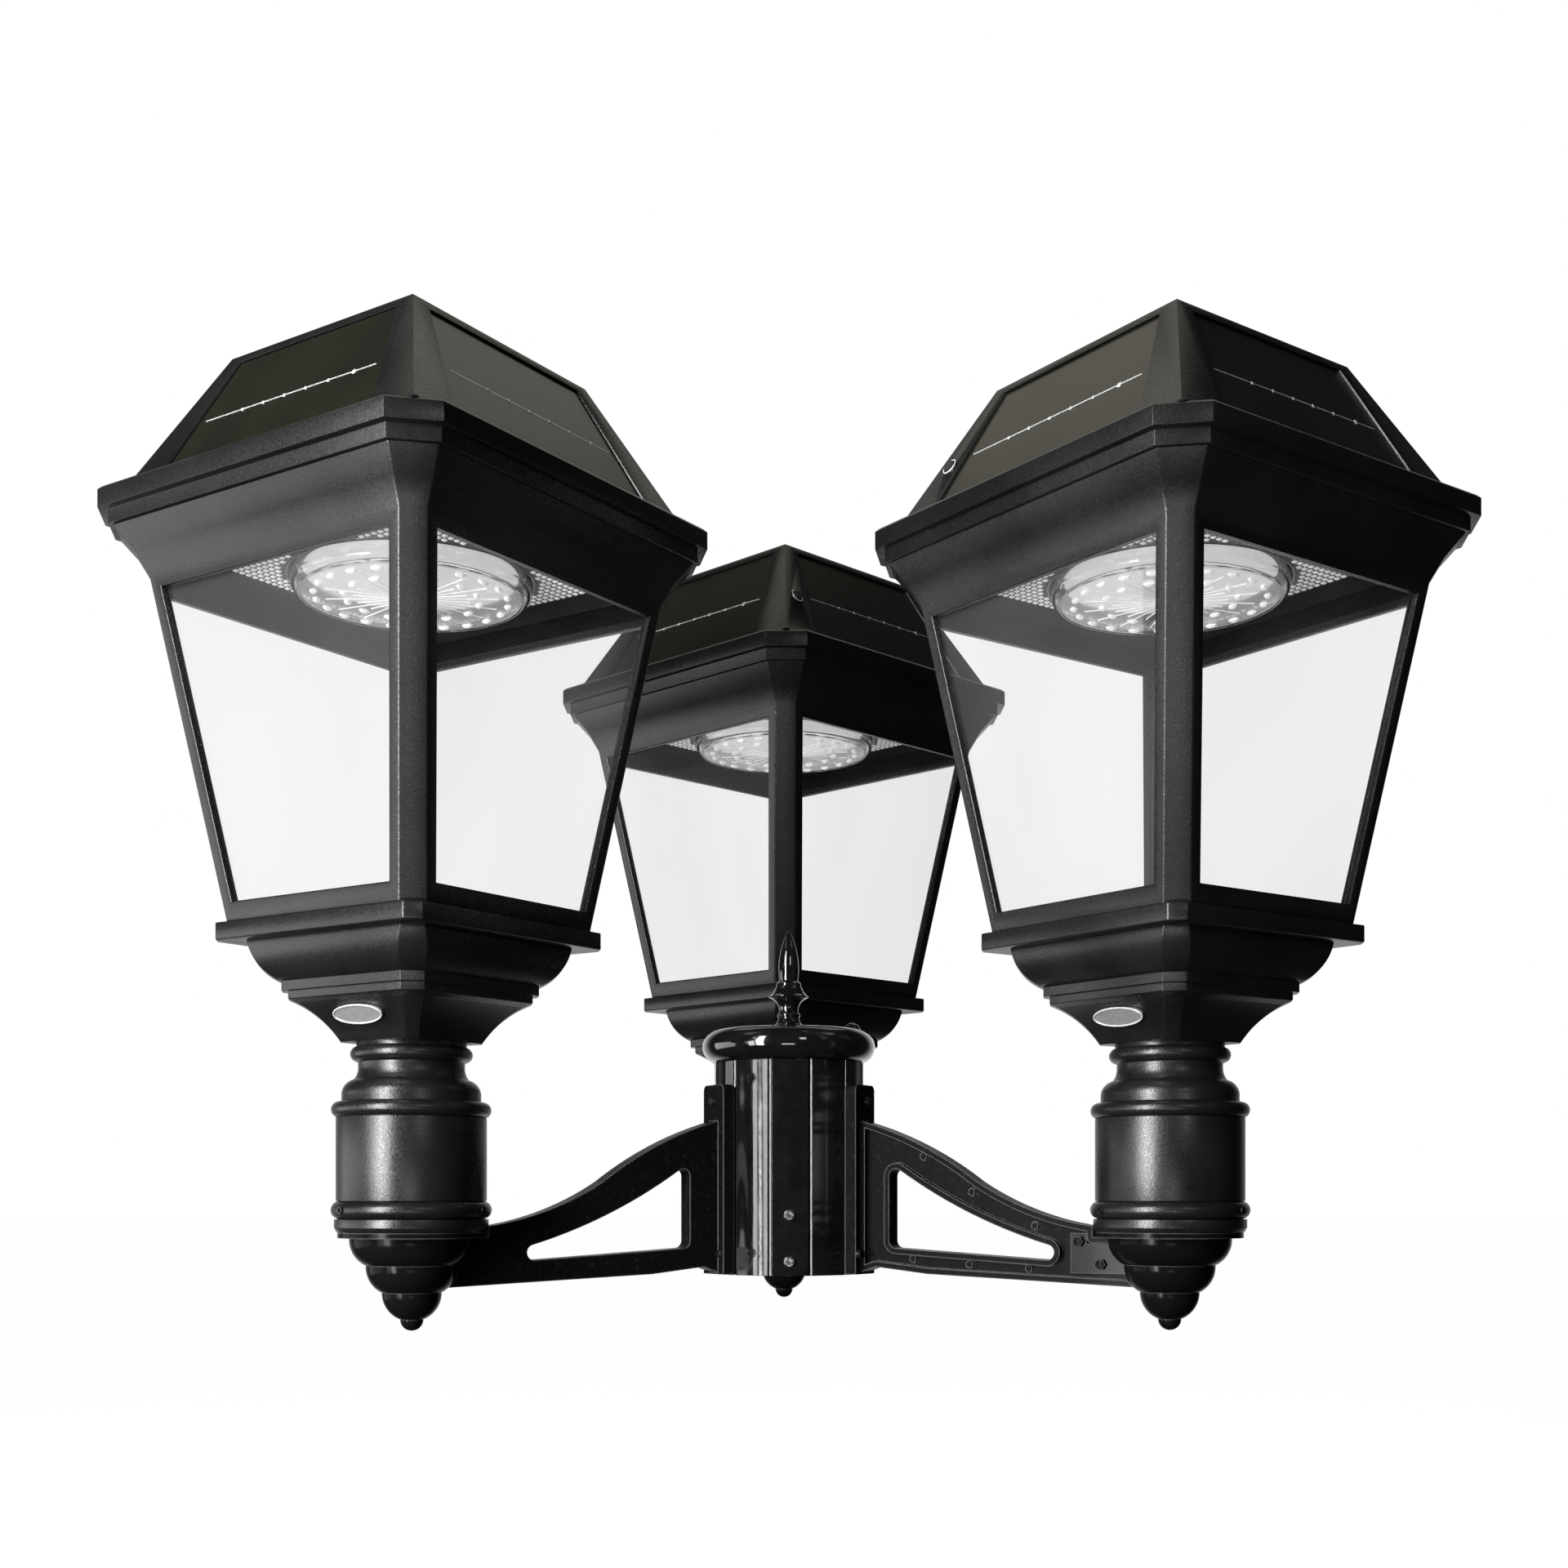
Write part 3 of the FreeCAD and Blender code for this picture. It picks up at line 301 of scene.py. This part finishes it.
def hub_enamel():
    """The same enamel on the flats of the hub, which are cast a little crowned."""
    return enamel("hub_enamel", 42.0, 0.35, 0.06, 0.8, 1.0, crowned=True)


def arm_enamel():
    """The same enamel on the rougher skin of an arm, with a painted highlight along its edges."""
    return enamel("arm_enamel", 60.0, 0.15, 0.20, 0.015, 0.01, edge_highlight_and_mottle=0.20, pitted=0.072)


def acorn_enamel():
    """The same enamel on the turned steps of an acorn cup, with a painted highlight along their
    edges.
    """
    return enamel("acorn_enamel", 50.0, 0.10, 0.14, 0.05, 0.02, edge_highlight_and_mottle=0.16)


def dark_steel():
    n = Nodes("dark_steel")
    scratch = n.noise(500.0, 3.0, 0.6)
    n.paint(n.ramp(scratch, (0.02, 0.02, 0.021), (0.05, 0.05, 0.052)))
    n.paint(n.ramp(scratch, 0.22, 0.38), "Roughness")
    n.set(Metallic=0.75)
    return n.bump((scratch, 0.2, MM * 0.1), round_edge=MM * 0.3).material


def zinc_steel():
    n = Nodes("zinc_steel")
    brush = n.noise(300.0, 3.0, 0.6, stretch=(1, 1, 12))
    n.paint(n.ramp(brush, (0.42, 0.42, 0.41), (0.62, 0.62, 0.60)))
    n.paint(n.ramp(brush, 0.25, 0.45), "Roughness")
    n.set(Metallic=1.0)
    return n.bump((brush, 0.2, MM * 0.1)).material


def solar_cell():
    """Dark cells under a clear satin sheet."""
    n = Nodes("solar_cell")
    patch = n.noise(16.0, 2.0)
    haze = n.noise(90.0, 2.0)
    n.paint(n.ramp(patch, (0.010, 0.0095, 0.0065), (0.014, 0.0135, 0.009)))
    n.paint(n.ramp(haze, 0.275, 0.29), "Roughness")
    n.set(Specular_IOR_Level=0.6, Coat_Weight=0.35, Coat_Roughness=0.22)
    return n.bump((patch, 0.01, MM * 0.3)).material


def clear_glass():
    n = Nodes("clear_glass")
    smear = n.noise(6.0, 2.0, 0.5, stretch=(1, 1, 0.4))
    n.set(Base_Color=(0.35, 0.36, 0.36, 1.0), Specular_IOR_Level=0.5)
    n.paint(n.ramp(smear, 0.02, 0.05), "Roughness")
    n.paint(n.ramp(smear, 0.035, 0.065), "Alpha")
    return n.bump((smear, 0.005, MM * 0.3)).material


def clear_lens():
    n = Nodes("clear_lens")
    flow = n.noise(45.0, 2.0)
    n.set(Base_Color=(0.93, 0.94, 0.94, 1.0), IOR=1.49, Transmission_Weight=1.0,
          Specular_IOR_Level=0.5)
    n.paint(n.ramp(flow, 0.03, 0.08), "Roughness")
    return n.bump((flow, 0.08, MM * 0.4)).material


def prism_plate():
    """Clear moulded squares that catch the light of the board above them."""
    n = Nodes("prism_plate")
    flow = n.noise(200.0, 2.0)
    n.paint(n.ramp(flow, (0.70, 0.71, 0.70), (0.92, 0.92, 0.91)))
    n.paint(n.ramp(flow, 0.12, 0.2), "Roughness")
    n.set(Specular_IOR_Level=0.7, Emission_Color=(1.0, 1.0, 0.98, 1.0), Emission_Strength=0.35)
    return n.bump((flow, 0.08, MM * 0.1)).material


def painted_shade_prism_field():
    """Painted shade: the clear ground between the moulded squares, coloured dark grey."""
    n = Nodes("painted_shade_prism_field")
    flow = n.noise(120.0, 2.0)
    # dark grey painted in as the shade between the lit squares
    n.paint(n.ramp(flow, (0.03, 0.03, 0.03), (0.06, 0.06, 0.06)))
    n.paint(n.ramp(flow, 0.3, 0.4), "Roughness")
    return n.bump((flow, 0.08, MM * 0.1)).material


def lit_optic():
    """Small bulging optics, bright with the light of the chips behind them."""
    n = Nodes("lit_optic")
    flow = n.noise(150.0, 2.0)
    n.paint(n.ramp(flow, (0.80, 0.81, 0.80), (0.95, 0.95, 0.94)))
    n.paint(n.ramp(flow, 0.08, 0.16), "Roughness")
    n.set(Specular_IOR_Level=0.6, Emission_Color=(1.0, 1.0, 0.98, 1.0), Emission_Strength=0.40)
    return n.bump((flow, 0.05, MM * 0.1)).material


def screw_steel():
    """Blackened screw heads, rubbed a little bright."""
    n = Nodes("screw_steel")
    wear = n.noise(500.0, 3.0, 0.6)
    n.paint(n.ramp(wear, (0.28, 0.28, 0.28), (0.48, 0.48, 0.48)))
    n.paint(n.ramp(wear, 0.18, 0.30), "Roughness")
    n.set(Metallic=0.9)
    return n.bump((wear, 0.1, MM * 0.05)).material


def tray_paint():
    n = Nodes("tray_paint")
    grain = n.noise(900.0, 2.0)
    cloud = n.noise(14.0, 3.0)
    n.paint(n.ramp(cloud, (0.045, 0.045, 0.045), (0.07, 0.07, 0.07)))
    n.paint(n.ramp(grain, 0.32, 0.42), "Roughness")
    return n.bump((grain, 0.15, MM * 0.1)).material


def led_board():
    n = Nodes("led_board")
    cloud = n.noise(80.0, 3.0)
    n.paint(n.ramp(cloud, (0.62, 0.63, 0.62), (0.74, 0.75, 0.74)))
    n.set(Roughness=0.45, Emission_Color=(1.0, 1.0, 0.98, 1.0), Emission_Strength=0.33)
    return n.bump((cloud, 0.1, MM * 0.2)).material


def battery_wrap():
    n = Nodes("battery_wrap")
    cloud = n.noise(40.0, 2.0)
    n.paint(n.ramp(cloud, (0.02, 0.08, 0.22), (0.03, 0.12, 0.30)))
    n.set(Roughness=0.3)
    return n.bump((cloud, 0.1, MM * 0.2)).material


def badge_metal():
    n = Nodes("badge_metal")
    brush = n.noise(400.0, 2.0, 0.6, stretch=(1, 1, 6))
    n.paint(n.ramp(brush, (0.20, 0.20, 0.21), (0.30, 0.30, 0.31)))
    n.paint(n.ramp(brush, 0.38, 0.5), "Roughness")
    n.set(Metallic=0.2)
    return n.bump((brush, 0.15, MM * 0.05)).material


def bright_metal():
    n = Nodes("bright_metal")
    brush = n.noise(300.0, 2.0)
    n.paint(n.ramp(brush, (0.72, 0.72, 0.73), (0.86, 0.86, 0.87)))
    n.paint(n.ramp(brush, 0.18, 0.32), "Roughness")
    n.set(Metallic=0.4)
    return n.bump((brush, 0.1, MM * 0.05)).material


def button_rubber():
    n = Nodes("button_rubber")
    grain = n.noise(1400.0, 2.0)
    n.paint(n.ramp(grain, (0.015, 0.015, 0.015), (0.035, 0.035, 0.035)))
    n.paint(n.ramp(grain, 0.55, 0.7), "Roughness")
    return n.bump((grain, 0.2, MM * 0.1)).material


MATERIALS = {make.__name__: make() for make in (
    satin_powder, gloss_enamel, hub_enamel, arm_enamel, acorn_enamel, dark_steel, zinc_steel,
    solar_cell, clear_glass, clear_lens, prism_plate, painted_shade_prism_field, lit_optic, screw_steel, tray_paint,
    led_board, battery_wrap, badge_metal, bright_metal, button_rubber)}
OTHER_LOOKS = {"hub_body": "hub_enamel"}
for lantern in NAMES:
    OTHER_LOOKS["arm_" + lantern] = "arm_enamel"
    OTHER_LOOKS["acorn_cup_" + lantern] = "acorn_enamel"
    # the clear diffuser gets a dark grey painted shade between its lit squares
    OTHER_LOOKS[lantern + "_diffuser"] = "painted_shade_prism_field"

for node_name, node_object in frame["nodes"].items():
    node_object.data.materials.clear()
    look = OTHER_LOOKS.get(node_name, slot_of(node_name))
    node_object.data.materials.append(MATERIALS[look])


# ---------------------------------------------------------------- rounded castings
ROUNDED = {"roof_shell": 0.7, "frame": 0.8, "base_plate": 0.8, "base_bell": 0.7,
           "fitter_column": 0.35}
for lantern in NAMES:
    for part, radius in ROUNDED.items():
        rounded_copy("%s_%s" % (lantern, part), radius * MM, MATERIALS["satin_powder"])
for fasteners, look in (("pole_set_screws", "screw_steel"), ("arm_flange_bolts", "dark_steel"),
                        ("cup_lug_bolts", "arm_enamel")):
    rounded_copy(fasteners, 0.55 * MM, MATERIALS[look], segments=3)


# ---------------------------------------------------------------- small parts of each lantern
# the roof's slopes, at the eave and under the cap, and the ribbons on their panels
ROOF_HALF, ROOF_TOP_HALF = 124.0 * MM, 76.6 * MM
ROOF_LOW, ROOF_HIGH = 479.0 * MM, 568.5 * MM
PANEL_SINK = 1.4 * MM
BUSBAR_HEIGHT = 521.0 * MM
BUSBAR_HALF = 72.0 * MM
BUSBAR_WIDE, BUSBAR_DEEP, BUSBAR_PROUD = 0.45 * MM, 0.1 * MM, 0.15 * MM
SOLDER_PLACES = (-0.75, -0.46, -0.20, 0.05, 0.30, 0.55)
SOLDER_FIRST, SOLDER_RADIUS, SOLDER_HEIGHT = 1.9 * MM, 1.3 * MM, 0.6 * MM
# the squares under the diffuser, and the lens: rims, optics and ridges
PRISM_PITCH, PRISM_DROP = 5.2 * MM, 0.9 * MM
PRISM_BASE, PRISM_TIP, PRISM_CLEAR = 0.29, 0.18, 0.8
LENS_RADIUS, LENS_FLOOR = 74.0 * MM, 428.0 * MM
DIFFUSER_HALF, DIFFUSER_LOW = 82.0 * MM, 440.0 * MM
LENS_RIMS = ((LENS_RADIUS - 5.0 * MM, 0.9 * MM, LENS_FLOOR + 0.3 * MM),
             (LENS_RADIUS + 2.2 * MM, 1.4 * MM, DIFFUSER_LOW - 0.2 * MM))
OPTIC_RINGS = ((60.0 * MM, 22), (42.0 * MM, 14))
OPTIC_RADIUS, OPTIC_HEIGHT = 3.4 * MM, 2.0 * MM
OPTIC_STRETCH = (0.75, 1.25, 1.0, 1.0)
FLUTES = 32
FLUTE_IN, FLUTE_IN_HALF, FLUTE_IN_DROP = 9.0 * MM, 0.1 * MM, 0.2 * MM
FLUTE_SHORT, FLUTE_LONG, FLUTE_OUT_HALF, FLUTE_OUT_DROP = 36.0 * MM, 54.0 * MM, 0.3 * MM, 0.6 * MM
# the badge's half sides, lean and place on the bell, and the ring round the button
BADGE_SHORT, BADGE_LONG, BADGE_LEAN = 6.8 * MM, 20.0 * MM, 42.0
BADGE_REACH, BADGE_HEIGHT, BADGE_THICK = 44.9 * MM, 165.0 * MM, 1.6 * MM
BADGE_RIM = 0.65 * MM
BUTTON_STAND, BEZEL_STAND = 2.4 * MM, 0.8 * MM
BUTTON_RING, BUTTON_RING_THICK = 5.0 * MM, 0.6 * MM
CROWN_DEPTH = 0.01 * MM
# screws
EAVE_SCREW_RADIUS, EAVE_SCREW_HEIGHT = 3.9 * MM, 2.5 * MM
CAP_SCREW_REACH, CAP_SCREW_TURN, CAP_SCREW_SUNK = 44.5 * MM, -9.0, 1.5 * MM
CAP_SCREW_RADIUS, CAP_SCREW_HEIGHT = 6.0 * MM, 5.2 * MM


def add_box(bm, low, high, matrix=Matrix.Identity(4)):
    middle = (Vector(low) + Vector(high)) / 2
    size = Vector(high) - Vector(low)
    shape = matrix @ Matrix.Translation(middle) @ Matrix.Diagonal((*size, 1.0))
    bmesh.ops.create_cube(bm, size=1.0, matrix=shape)


def add_dome(bm, radius, height, matrix, rings=5, around=16):
    """Closed dome on the plane z = 0 of matrix, bulging towards +z."""
    circles = []
    for ring in range(rings):
        lift = math.radians(90.0 * ring / rings)
        circles.append([bm.verts.new(matrix @ Vector((
            radius * math.cos(lift) * math.cos(math.tau * i / around),
            radius * math.cos(lift) * math.sin(math.tau * i / around),
            height * math.sin(lift)))) for i in range(around)])
    top = bm.verts.new(matrix @ Vector((0, 0, height)))
    for low, high in zip(circles, circles[1:]):
        for i in range(around):
            bm.faces.new((low[i], low[(i + 1) % around], high[(i + 1) % around], high[i]))
    for i in range(around):
        bm.faces.new((circles[-1][i], circles[-1][(i + 1) % around], top))
    bm.faces.new(list(reversed(circles[0])))


def add_ring(bm, radius, thick, height, around=96, section=8, stretch=1.0,
             matrix=Matrix.Identity(4)):
    """Closed ring of round section in the plane z = height, oval if stretched along Y."""
    loops = []
    for i in range(around):
        turn = math.tau * i / around
        loops.append([bm.verts.new(matrix @ Vector((
            (radius + thick * math.cos(math.tau * k / section)) * math.cos(turn),
            (radius * stretch + thick * math.cos(math.tau * k / section)) * math.sin(turn),
            height + thick * math.sin(math.tau * k / section)))) for k in range(section)])
    for i in range(around):
        one, two = loops[i], loops[(i + 1) % around]
        for k in range(section):
            bm.faces.new((one[k], two[k], two[(k + 1) % section], one[(k + 1) % section]))


def slope_matrix(height):
    """Frame on the +X roof slope: X across the slope, Y up it, Z out of it."""
    part = (height - ROOF_LOW) / (ROOF_HIGH - ROOF_LOW)
    out = ROOF_HALF + (ROOF_TOP_HALF - ROOF_HALF) * part - PANEL_SINK
    up = Vector((ROOF_TOP_HALF - ROOF_HALF, 0, ROOF_HIGH - ROOF_LOW)).normalized()
    across = Vector((0, 1, 0))
    normal = across.cross(up)
    axes = Matrix((across, up, normal)).transposed().to_4x4()
    return Matrix.Translation(Vector((out, 0, height))) @ axes


def busbars(name):
    """One silver ribbon across each panel, with drops of solder on it."""
    bm = bmesh.new()
    for side in range(4):
        slope = Matrix.Rotation(math.radians(90 * side), 4, "Z") @ slope_matrix(BUSBAR_HEIGHT)
        add_box(bm, (-BUSBAR_HALF, -BUSBAR_WIDE, -BUSBAR_DEEP),
                (BUSBAR_HALF, BUSBAR_WIDE, BUSBAR_PROUD), slope)
        for i, share in enumerate(SOLDER_PLACES):
            spot = slope @ Matrix.Translation(Vector((-share * BUSBAR_HALF, 0, 0)))
            radius = SOLDER_FIRST if i == 0 else SOLDER_RADIUS
            add_dome(bm, radius, SOLDER_HEIGHT, spot, rings=3, around=10)
    new_piece(name + "_busbars", bm, MATERIALS["bright_metal"], "lantern_" + name,
              lantern_matrix(name))


def prisms(name):
    """Rows of small blunt pyramids under the diffuser, round the lens."""
    bm = bmesh.new()
    count = int(DIFFUSER_HALF * 2 / PRISM_PITCH)
    start = -PRISM_PITCH * (count - 1) / 2
    base, tip = PRISM_PITCH * PRISM_BASE, PRISM_PITCH * PRISM_TIP
    corners = ((-1, -1), (1, -1), (1, 1), (-1, 1))
    for i in range(count):
        for j in range(count):
            x, y = start + i * PRISM_PITCH, start + j * PRISM_PITCH
            if math.hypot(x, y) < LENS_RADIUS + PRISM_PITCH * PRISM_CLEAR:
                continue
            wide = [bm.verts.new((x + a * base, y + b * base, DIFFUSER_LOW))
                    for a, b in corners]
            blunt = [bm.verts.new((x + a * tip, y + b * tip, DIFFUSER_LOW - PRISM_DROP))
                     for a, b in corners]
            bm.faces.new(wide)
            bm.faces.new(list(reversed(blunt)))
            for k in range(4):
                bm.faces.new((wide[(k + 1) % 4], wide[k], blunt[k], blunt[(k + 1) % 4]))
    new_piece(name + "_prisms", bm, MATERIALS["prism_plate"], "lantern_" + name,
              lantern_matrix(name))


def lens_flutes(name):
    """Radial ridges under the middle of the lens."""
    bm = bmesh.new()
    for i in range(FLUTES):
        spin = Matrix.Rotation(math.tau * i / FLUTES, 4, "Z")
        outer = FLUTE_LONG if i % 2 else FLUTE_SHORT
        ends = ((FLUTE_IN, FLUTE_IN_HALF), (outer, FLUTE_OUT_HALF))
        low = [bm.verts.new(spin @ Vector((reach, side * half, LENS_FLOOR)))
               for reach, half in ends for side in (-1, 1)]
        ridge = [bm.verts.new(spin @ Vector((reach, 0, LENS_FLOOR - drop)))
                 for reach, drop in ((FLUTE_IN, FLUTE_IN_DROP), (outer, FLUTE_OUT_DROP))]
        bm.faces.new((low[0], low[1], low[3], low[2]))
        bm.faces.new((low[1], low[0], ridge[0]))
        bm.faces.new((low[2], low[3], ridge[1]))
        bm.faces.new((low[0], low[2], ridge[1], ridge[0]))
        bm.faces.new((low[3], low[1], ridge[0], ridge[1]))
    new_piece(name + "_lens_flutes", bm, MATERIALS["lit_optic"], "lantern_" + name,
              lantern_matrix(name))


def lens_optics(name):
    """Two rings of bulging optics under the lens, and its two raised rims."""
    bm = bmesh.new()
    down = Matrix.Rotation(math.pi, 4, "X")
    for reach, count in OPTIC_RINGS:
        for i in range(count):
            angle = math.tau * i / count
            spot = Vector((reach * math.cos(angle), reach * math.sin(angle), LENS_FLOOR))
            spin = Matrix.Rotation(angle, 4, "Z") @ Matrix.Diagonal(OPTIC_STRETCH)
            add_dome(bm, OPTIC_RADIUS, OPTIC_HEIGHT, Matrix.Translation(spot) @ spin @ down,
                     rings=3, around=6)
    new_piece(name + "_lens_optics", bm, MATERIALS["lit_optic"], "lantern_" + name,
              lantern_matrix(name))
    ring = bmesh.new()
    for radius, thick, height in LENS_RIMS:
        add_ring(ring, radius, thick, height)
    piece = new_piece(name + "_lens_rims", ring, MATERIALS["clear_lens"], "lantern_" + name,
                      lantern_matrix(name))
    smooth_by_angle(piece.data, ROUND_ANGLE)


def badge_rim(name):
    """Bright raised rim round the plain oval badge."""
    low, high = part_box(name + "_badge")
    place = joint("swivel_" + name)["pos_m"]
    middle = (low + high) / 2
    turn = math.atan2(middle.y - place[1], middle.x - place[0]) + math.pi
    spot = Matrix.Translation(Vector((place[0], place[1], 0))) @ Matrix.Rotation(turn, 4, "Z")
    lean = (Matrix.Translation(Vector((-BADGE_REACH, 0, BADGE_HEIGHT)))
            @ Matrix.Rotation(math.radians(-90 - BADGE_LEAN), 4, "Y"))
    bm = bmesh.new()
    add_ring(bm, BADGE_SHORT, BADGE_RIM, BADGE_THICK, stretch=BADGE_LONG / BADGE_SHORT,
             matrix=lean)
    piece = new_piece(name + "_badge_rim", bm, MATERIALS["bright_metal"], "lantern_" + name,
                      spot)
    smooth_by_angle(piece.data, ROUND_ANGLE)


def eave_screws(name):
    """Low screw heads on the cut corners of the eave."""
    bm = bmesh.new()
    reach = ROOF_HALF * math.sqrt(2) + EAVE_SCREW_RADIUS
    for side in range(4):
        angle = math.radians(45 + 90 * side)
        spot = Vector((reach * math.cos(angle), reach * math.sin(angle), ROOF_LOW))
        add_dome(bm, EAVE_SCREW_RADIUS, EAVE_SCREW_HEIGHT, Matrix.Translation(spot))
    piece = new_piece(name + "_eave_screws", bm, MATERIALS["dark_steel"], "lantern_" + name,
                      lantern_matrix(name))
    smooth_by_angle(piece.data, ROUND_ANGLE)


def button_ring(name):
    """Bright ring seated on the bezel round the push button."""
    outward = -Vector(joint("press_" + name)["axis"])
    points = [vertex.co for vertex in frame["nodes"][name + "_power_button"].data.vertices]
    top = max(point.dot(outward) for point in points)
    crown = [point for point in points if top - point.dot(outward) < CROWN_DEPTH]
    seat = sum(crown, Vector()) / len(crown) - outward * (BUTTON_STAND - BEZEL_STAND)
    facing = Matrix.Translation(seat) @ outward.to_track_quat("Z", "Y").to_matrix().to_4x4()
    bm = bmesh.new()
    add_ring(bm, BUTTON_RING, BUTTON_RING_THICK, 0.0, around=48, matrix=facing)
    piece = new_piece(name + "_button_ring", bm, MATERIALS["bright_metal"], "lantern_" + name)
    smooth_by_angle(piece.data, ROUND_ANGLE)


def cap_screw():
    """Button-head screw that locks the hub's cap."""
    bm = bmesh.new()
    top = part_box("hub_cap")[1].z - CAP_SCREW_SUNK
    angle = math.radians(CAP_SCREW_TURN)
    spot = Vector((CAP_SCREW_REACH * math.cos(angle), CAP_SCREW_REACH * math.sin(angle), top))
    add_dome(bm, CAP_SCREW_RADIUS, CAP_SCREW_HEIGHT, Matrix.Translation(spot))
    piece = new_piece("cap_lock_screw", bm, MATERIALS["gloss_enamel"], "bracket")
    smooth_by_angle(piece.data, ROUND_ANGLE)


for lantern in NAMES:
    for make in (busbars, prisms, lens_flutes, lens_optics, badge_rim, eave_screws,
                 button_ring):
        make(lantern)
cap_screw()


# ---------------------------------------------------------------- stage, light and camera
FLOOR_DROP = 0.55
CAMERA_DISTANCE = 1.331
CAMERA_HEIGHT = 0.051
CAMERA_TURN = 0.82
LENS = 43.6
SHIFT_UP = 0.2655
SHIFT_SIDE = -0.003
SENSOR = 36.0
FAR = 200.0
FLOOR_RADIUS, FLOOR_SIDES = 60.0, 96
WHITE, WARM = (1.0, 1.0, 1.0), (1.0, 0.96, 0.82)
# name, place, width, height, watts, colour
SOFTBOXES = (
    ("key_strip", (-1.24, -1.53, 0.40), 0.34, 2.0, 75.0, WHITE),
    ("side_strip", (-1.58, -1.29, 0.30), 0.30, 1.8, 11.0, WHITE),
    ("left_wall", (-2.3, 0.1, -0.06), 2.0, 1.0, 11.0, WHITE),
    ("roof_sheen", (0.0, 1.7, 3.3), 3.4, 1.5, 8.0, WARM),
    ("front_low", (-0.05, -1.75, -0.42), 0.50, 0.25, 1.8, WHITE),
    ("front_right", (0.75, -2.3, 1.0), 0.35, 0.5, 3.0, WHITE))
BACKDROP_GLOW = (("From Min", 0.60), ("From Max", 0.98), ("To Min", 0.018), ("To Max", 0.75))


def add_floor():
    """Wide pale floor, well below the post top, as there is no pole to stand on."""
    bm = bmesh.new()
    bmesh.ops.create_circle(bm, cap_ends=True, radius=FLOOR_RADIUS, segments=FLOOR_SIDES)
    mesh = bpy.data.meshes.new("floor")
    bm.to_mesh(mesh)
    bm.free()
    n = Nodes("floor_paint")
    n.set(Roughness=0.9, Base_Color=(0.30, 0.30, 0.30, 1.0), Specular_IOR_Level=0.0,
          Emission_Color=(1.0, 1.0, 1.0, 1.0), Emission_Strength=0.97)
    mesh.materials.append(n.material)
    floor = bpy.data.objects.new("floor", mesh)
    floor.location.z = cad_box[0].z - FLOOR_DROP
    floor.visible_diffuse = False
    floor.visible_glossy = False
    bpy.context.scene.collection.objects.link(floor)


def add_world():
    """White to the camera. What it lights sees a dim room with a lit backdrop behind."""
    world = bpy.data.worlds.new("studio")
    world.use_nodes = True
    tree = world.node_tree
    tree.nodes.clear()
    out = tree.nodes.new("ShaderNodeOutputWorld")
    mix = tree.nodes.new("ShaderNodeMixShader")
    seen = tree.nodes.new("ShaderNodeBackground")
    seen.inputs["Color"].default_value = (1.0, 1.0, 1.0, 1.0)
    room = tree.nodes.new("ShaderNodeBackground")
    room.inputs["Color"].default_value = (1.0, 1.0, 1.0, 1.0)
    way = tree.nodes.new("ShaderNodeTexCoord")
    split = tree.nodes.new("ShaderNodeSeparateXYZ")
    glow = tree.nodes.new("ShaderNodeMapRange")
    glow.interpolation_type = "SMOOTHSTEP"
    for socket, number in BACKDROP_GLOW:
        glow.inputs[socket].default_value = number
    tree.links.new(way.outputs["Generated"], split.inputs[0])
    tree.links.new(split.outputs["Y"], glow.inputs["Value"])
    tree.links.new(glow.outputs["Result"], room.inputs["Strength"])
    path = tree.nodes.new("ShaderNodeLightPath")
    either = tree.nodes.new("ShaderNodeMath")
    either.operation = "MAXIMUM"
    tree.links.new(path.outputs["Is Camera Ray"], either.inputs[0])
    tree.links.new(path.outputs["Is Transmission Ray"], either.inputs[1])
    tree.links.new(either.outputs[0], mix.inputs["Fac"])
    tree.links.new(room.outputs[0], mix.inputs[1])
    tree.links.new(seen.outputs[0], mix.inputs[2])
    tree.links.new(mix.outputs[0], out.inputs["Surface"])
    bpy.context.scene.world = world


def add_softbox(name, place, target, width, height, power, tint):
    light = bpy.data.lights.new(name, "AREA")
    light.shape = "RECTANGLE"
    light.size = width
    light.size_y = height
    light.energy = power
    light.color = tint
    lamp = bpy.data.objects.new(name, light)
    lamp.location = place
    aim = Vector(target) - Vector(place)
    lamp.rotation_euler = aim.to_track_quat("-Z", "Y").to_euler()
    lamp.visible_camera = False
    bpy.context.scene.collection.objects.link(lamp)


def add_lights():
    """Tall boxes to the left for the highlights, weak ones for the shadow side and the roofs."""
    middle = (cad_box[0] + cad_box[1]) / 2
    for name, place, width, height, power, tint in SOFTBOXES:
        add_softbox(name, place, middle, width, height, power, tint)


def add_camera():
    data = bpy.data.cameras.new("camera")
    data.lens = LENS
    data.sensor_width = SENSOR
    data.shift_y = SHIFT_UP
    data.shift_x = SHIFT_SIDE
    data.clip_end = FAR
    camera = bpy.data.objects.new("camera", data)
    turn = math.radians(CAMERA_TURN)
    camera.location = (-CAMERA_DISTANCE * math.sin(turn), -CAMERA_DISTANCE * math.cos(turn),
                       CAMERA_HEIGHT)
    camera.rotation_euler = (math.radians(90), 0.0, -turn)
    bpy.context.scene.collection.objects.link(camera)
    bpy.context.scene.camera = camera


add_floor()
add_world()
add_lights()
add_camera()
bpy.context.scene.view_settings.view_transform = "Standard"
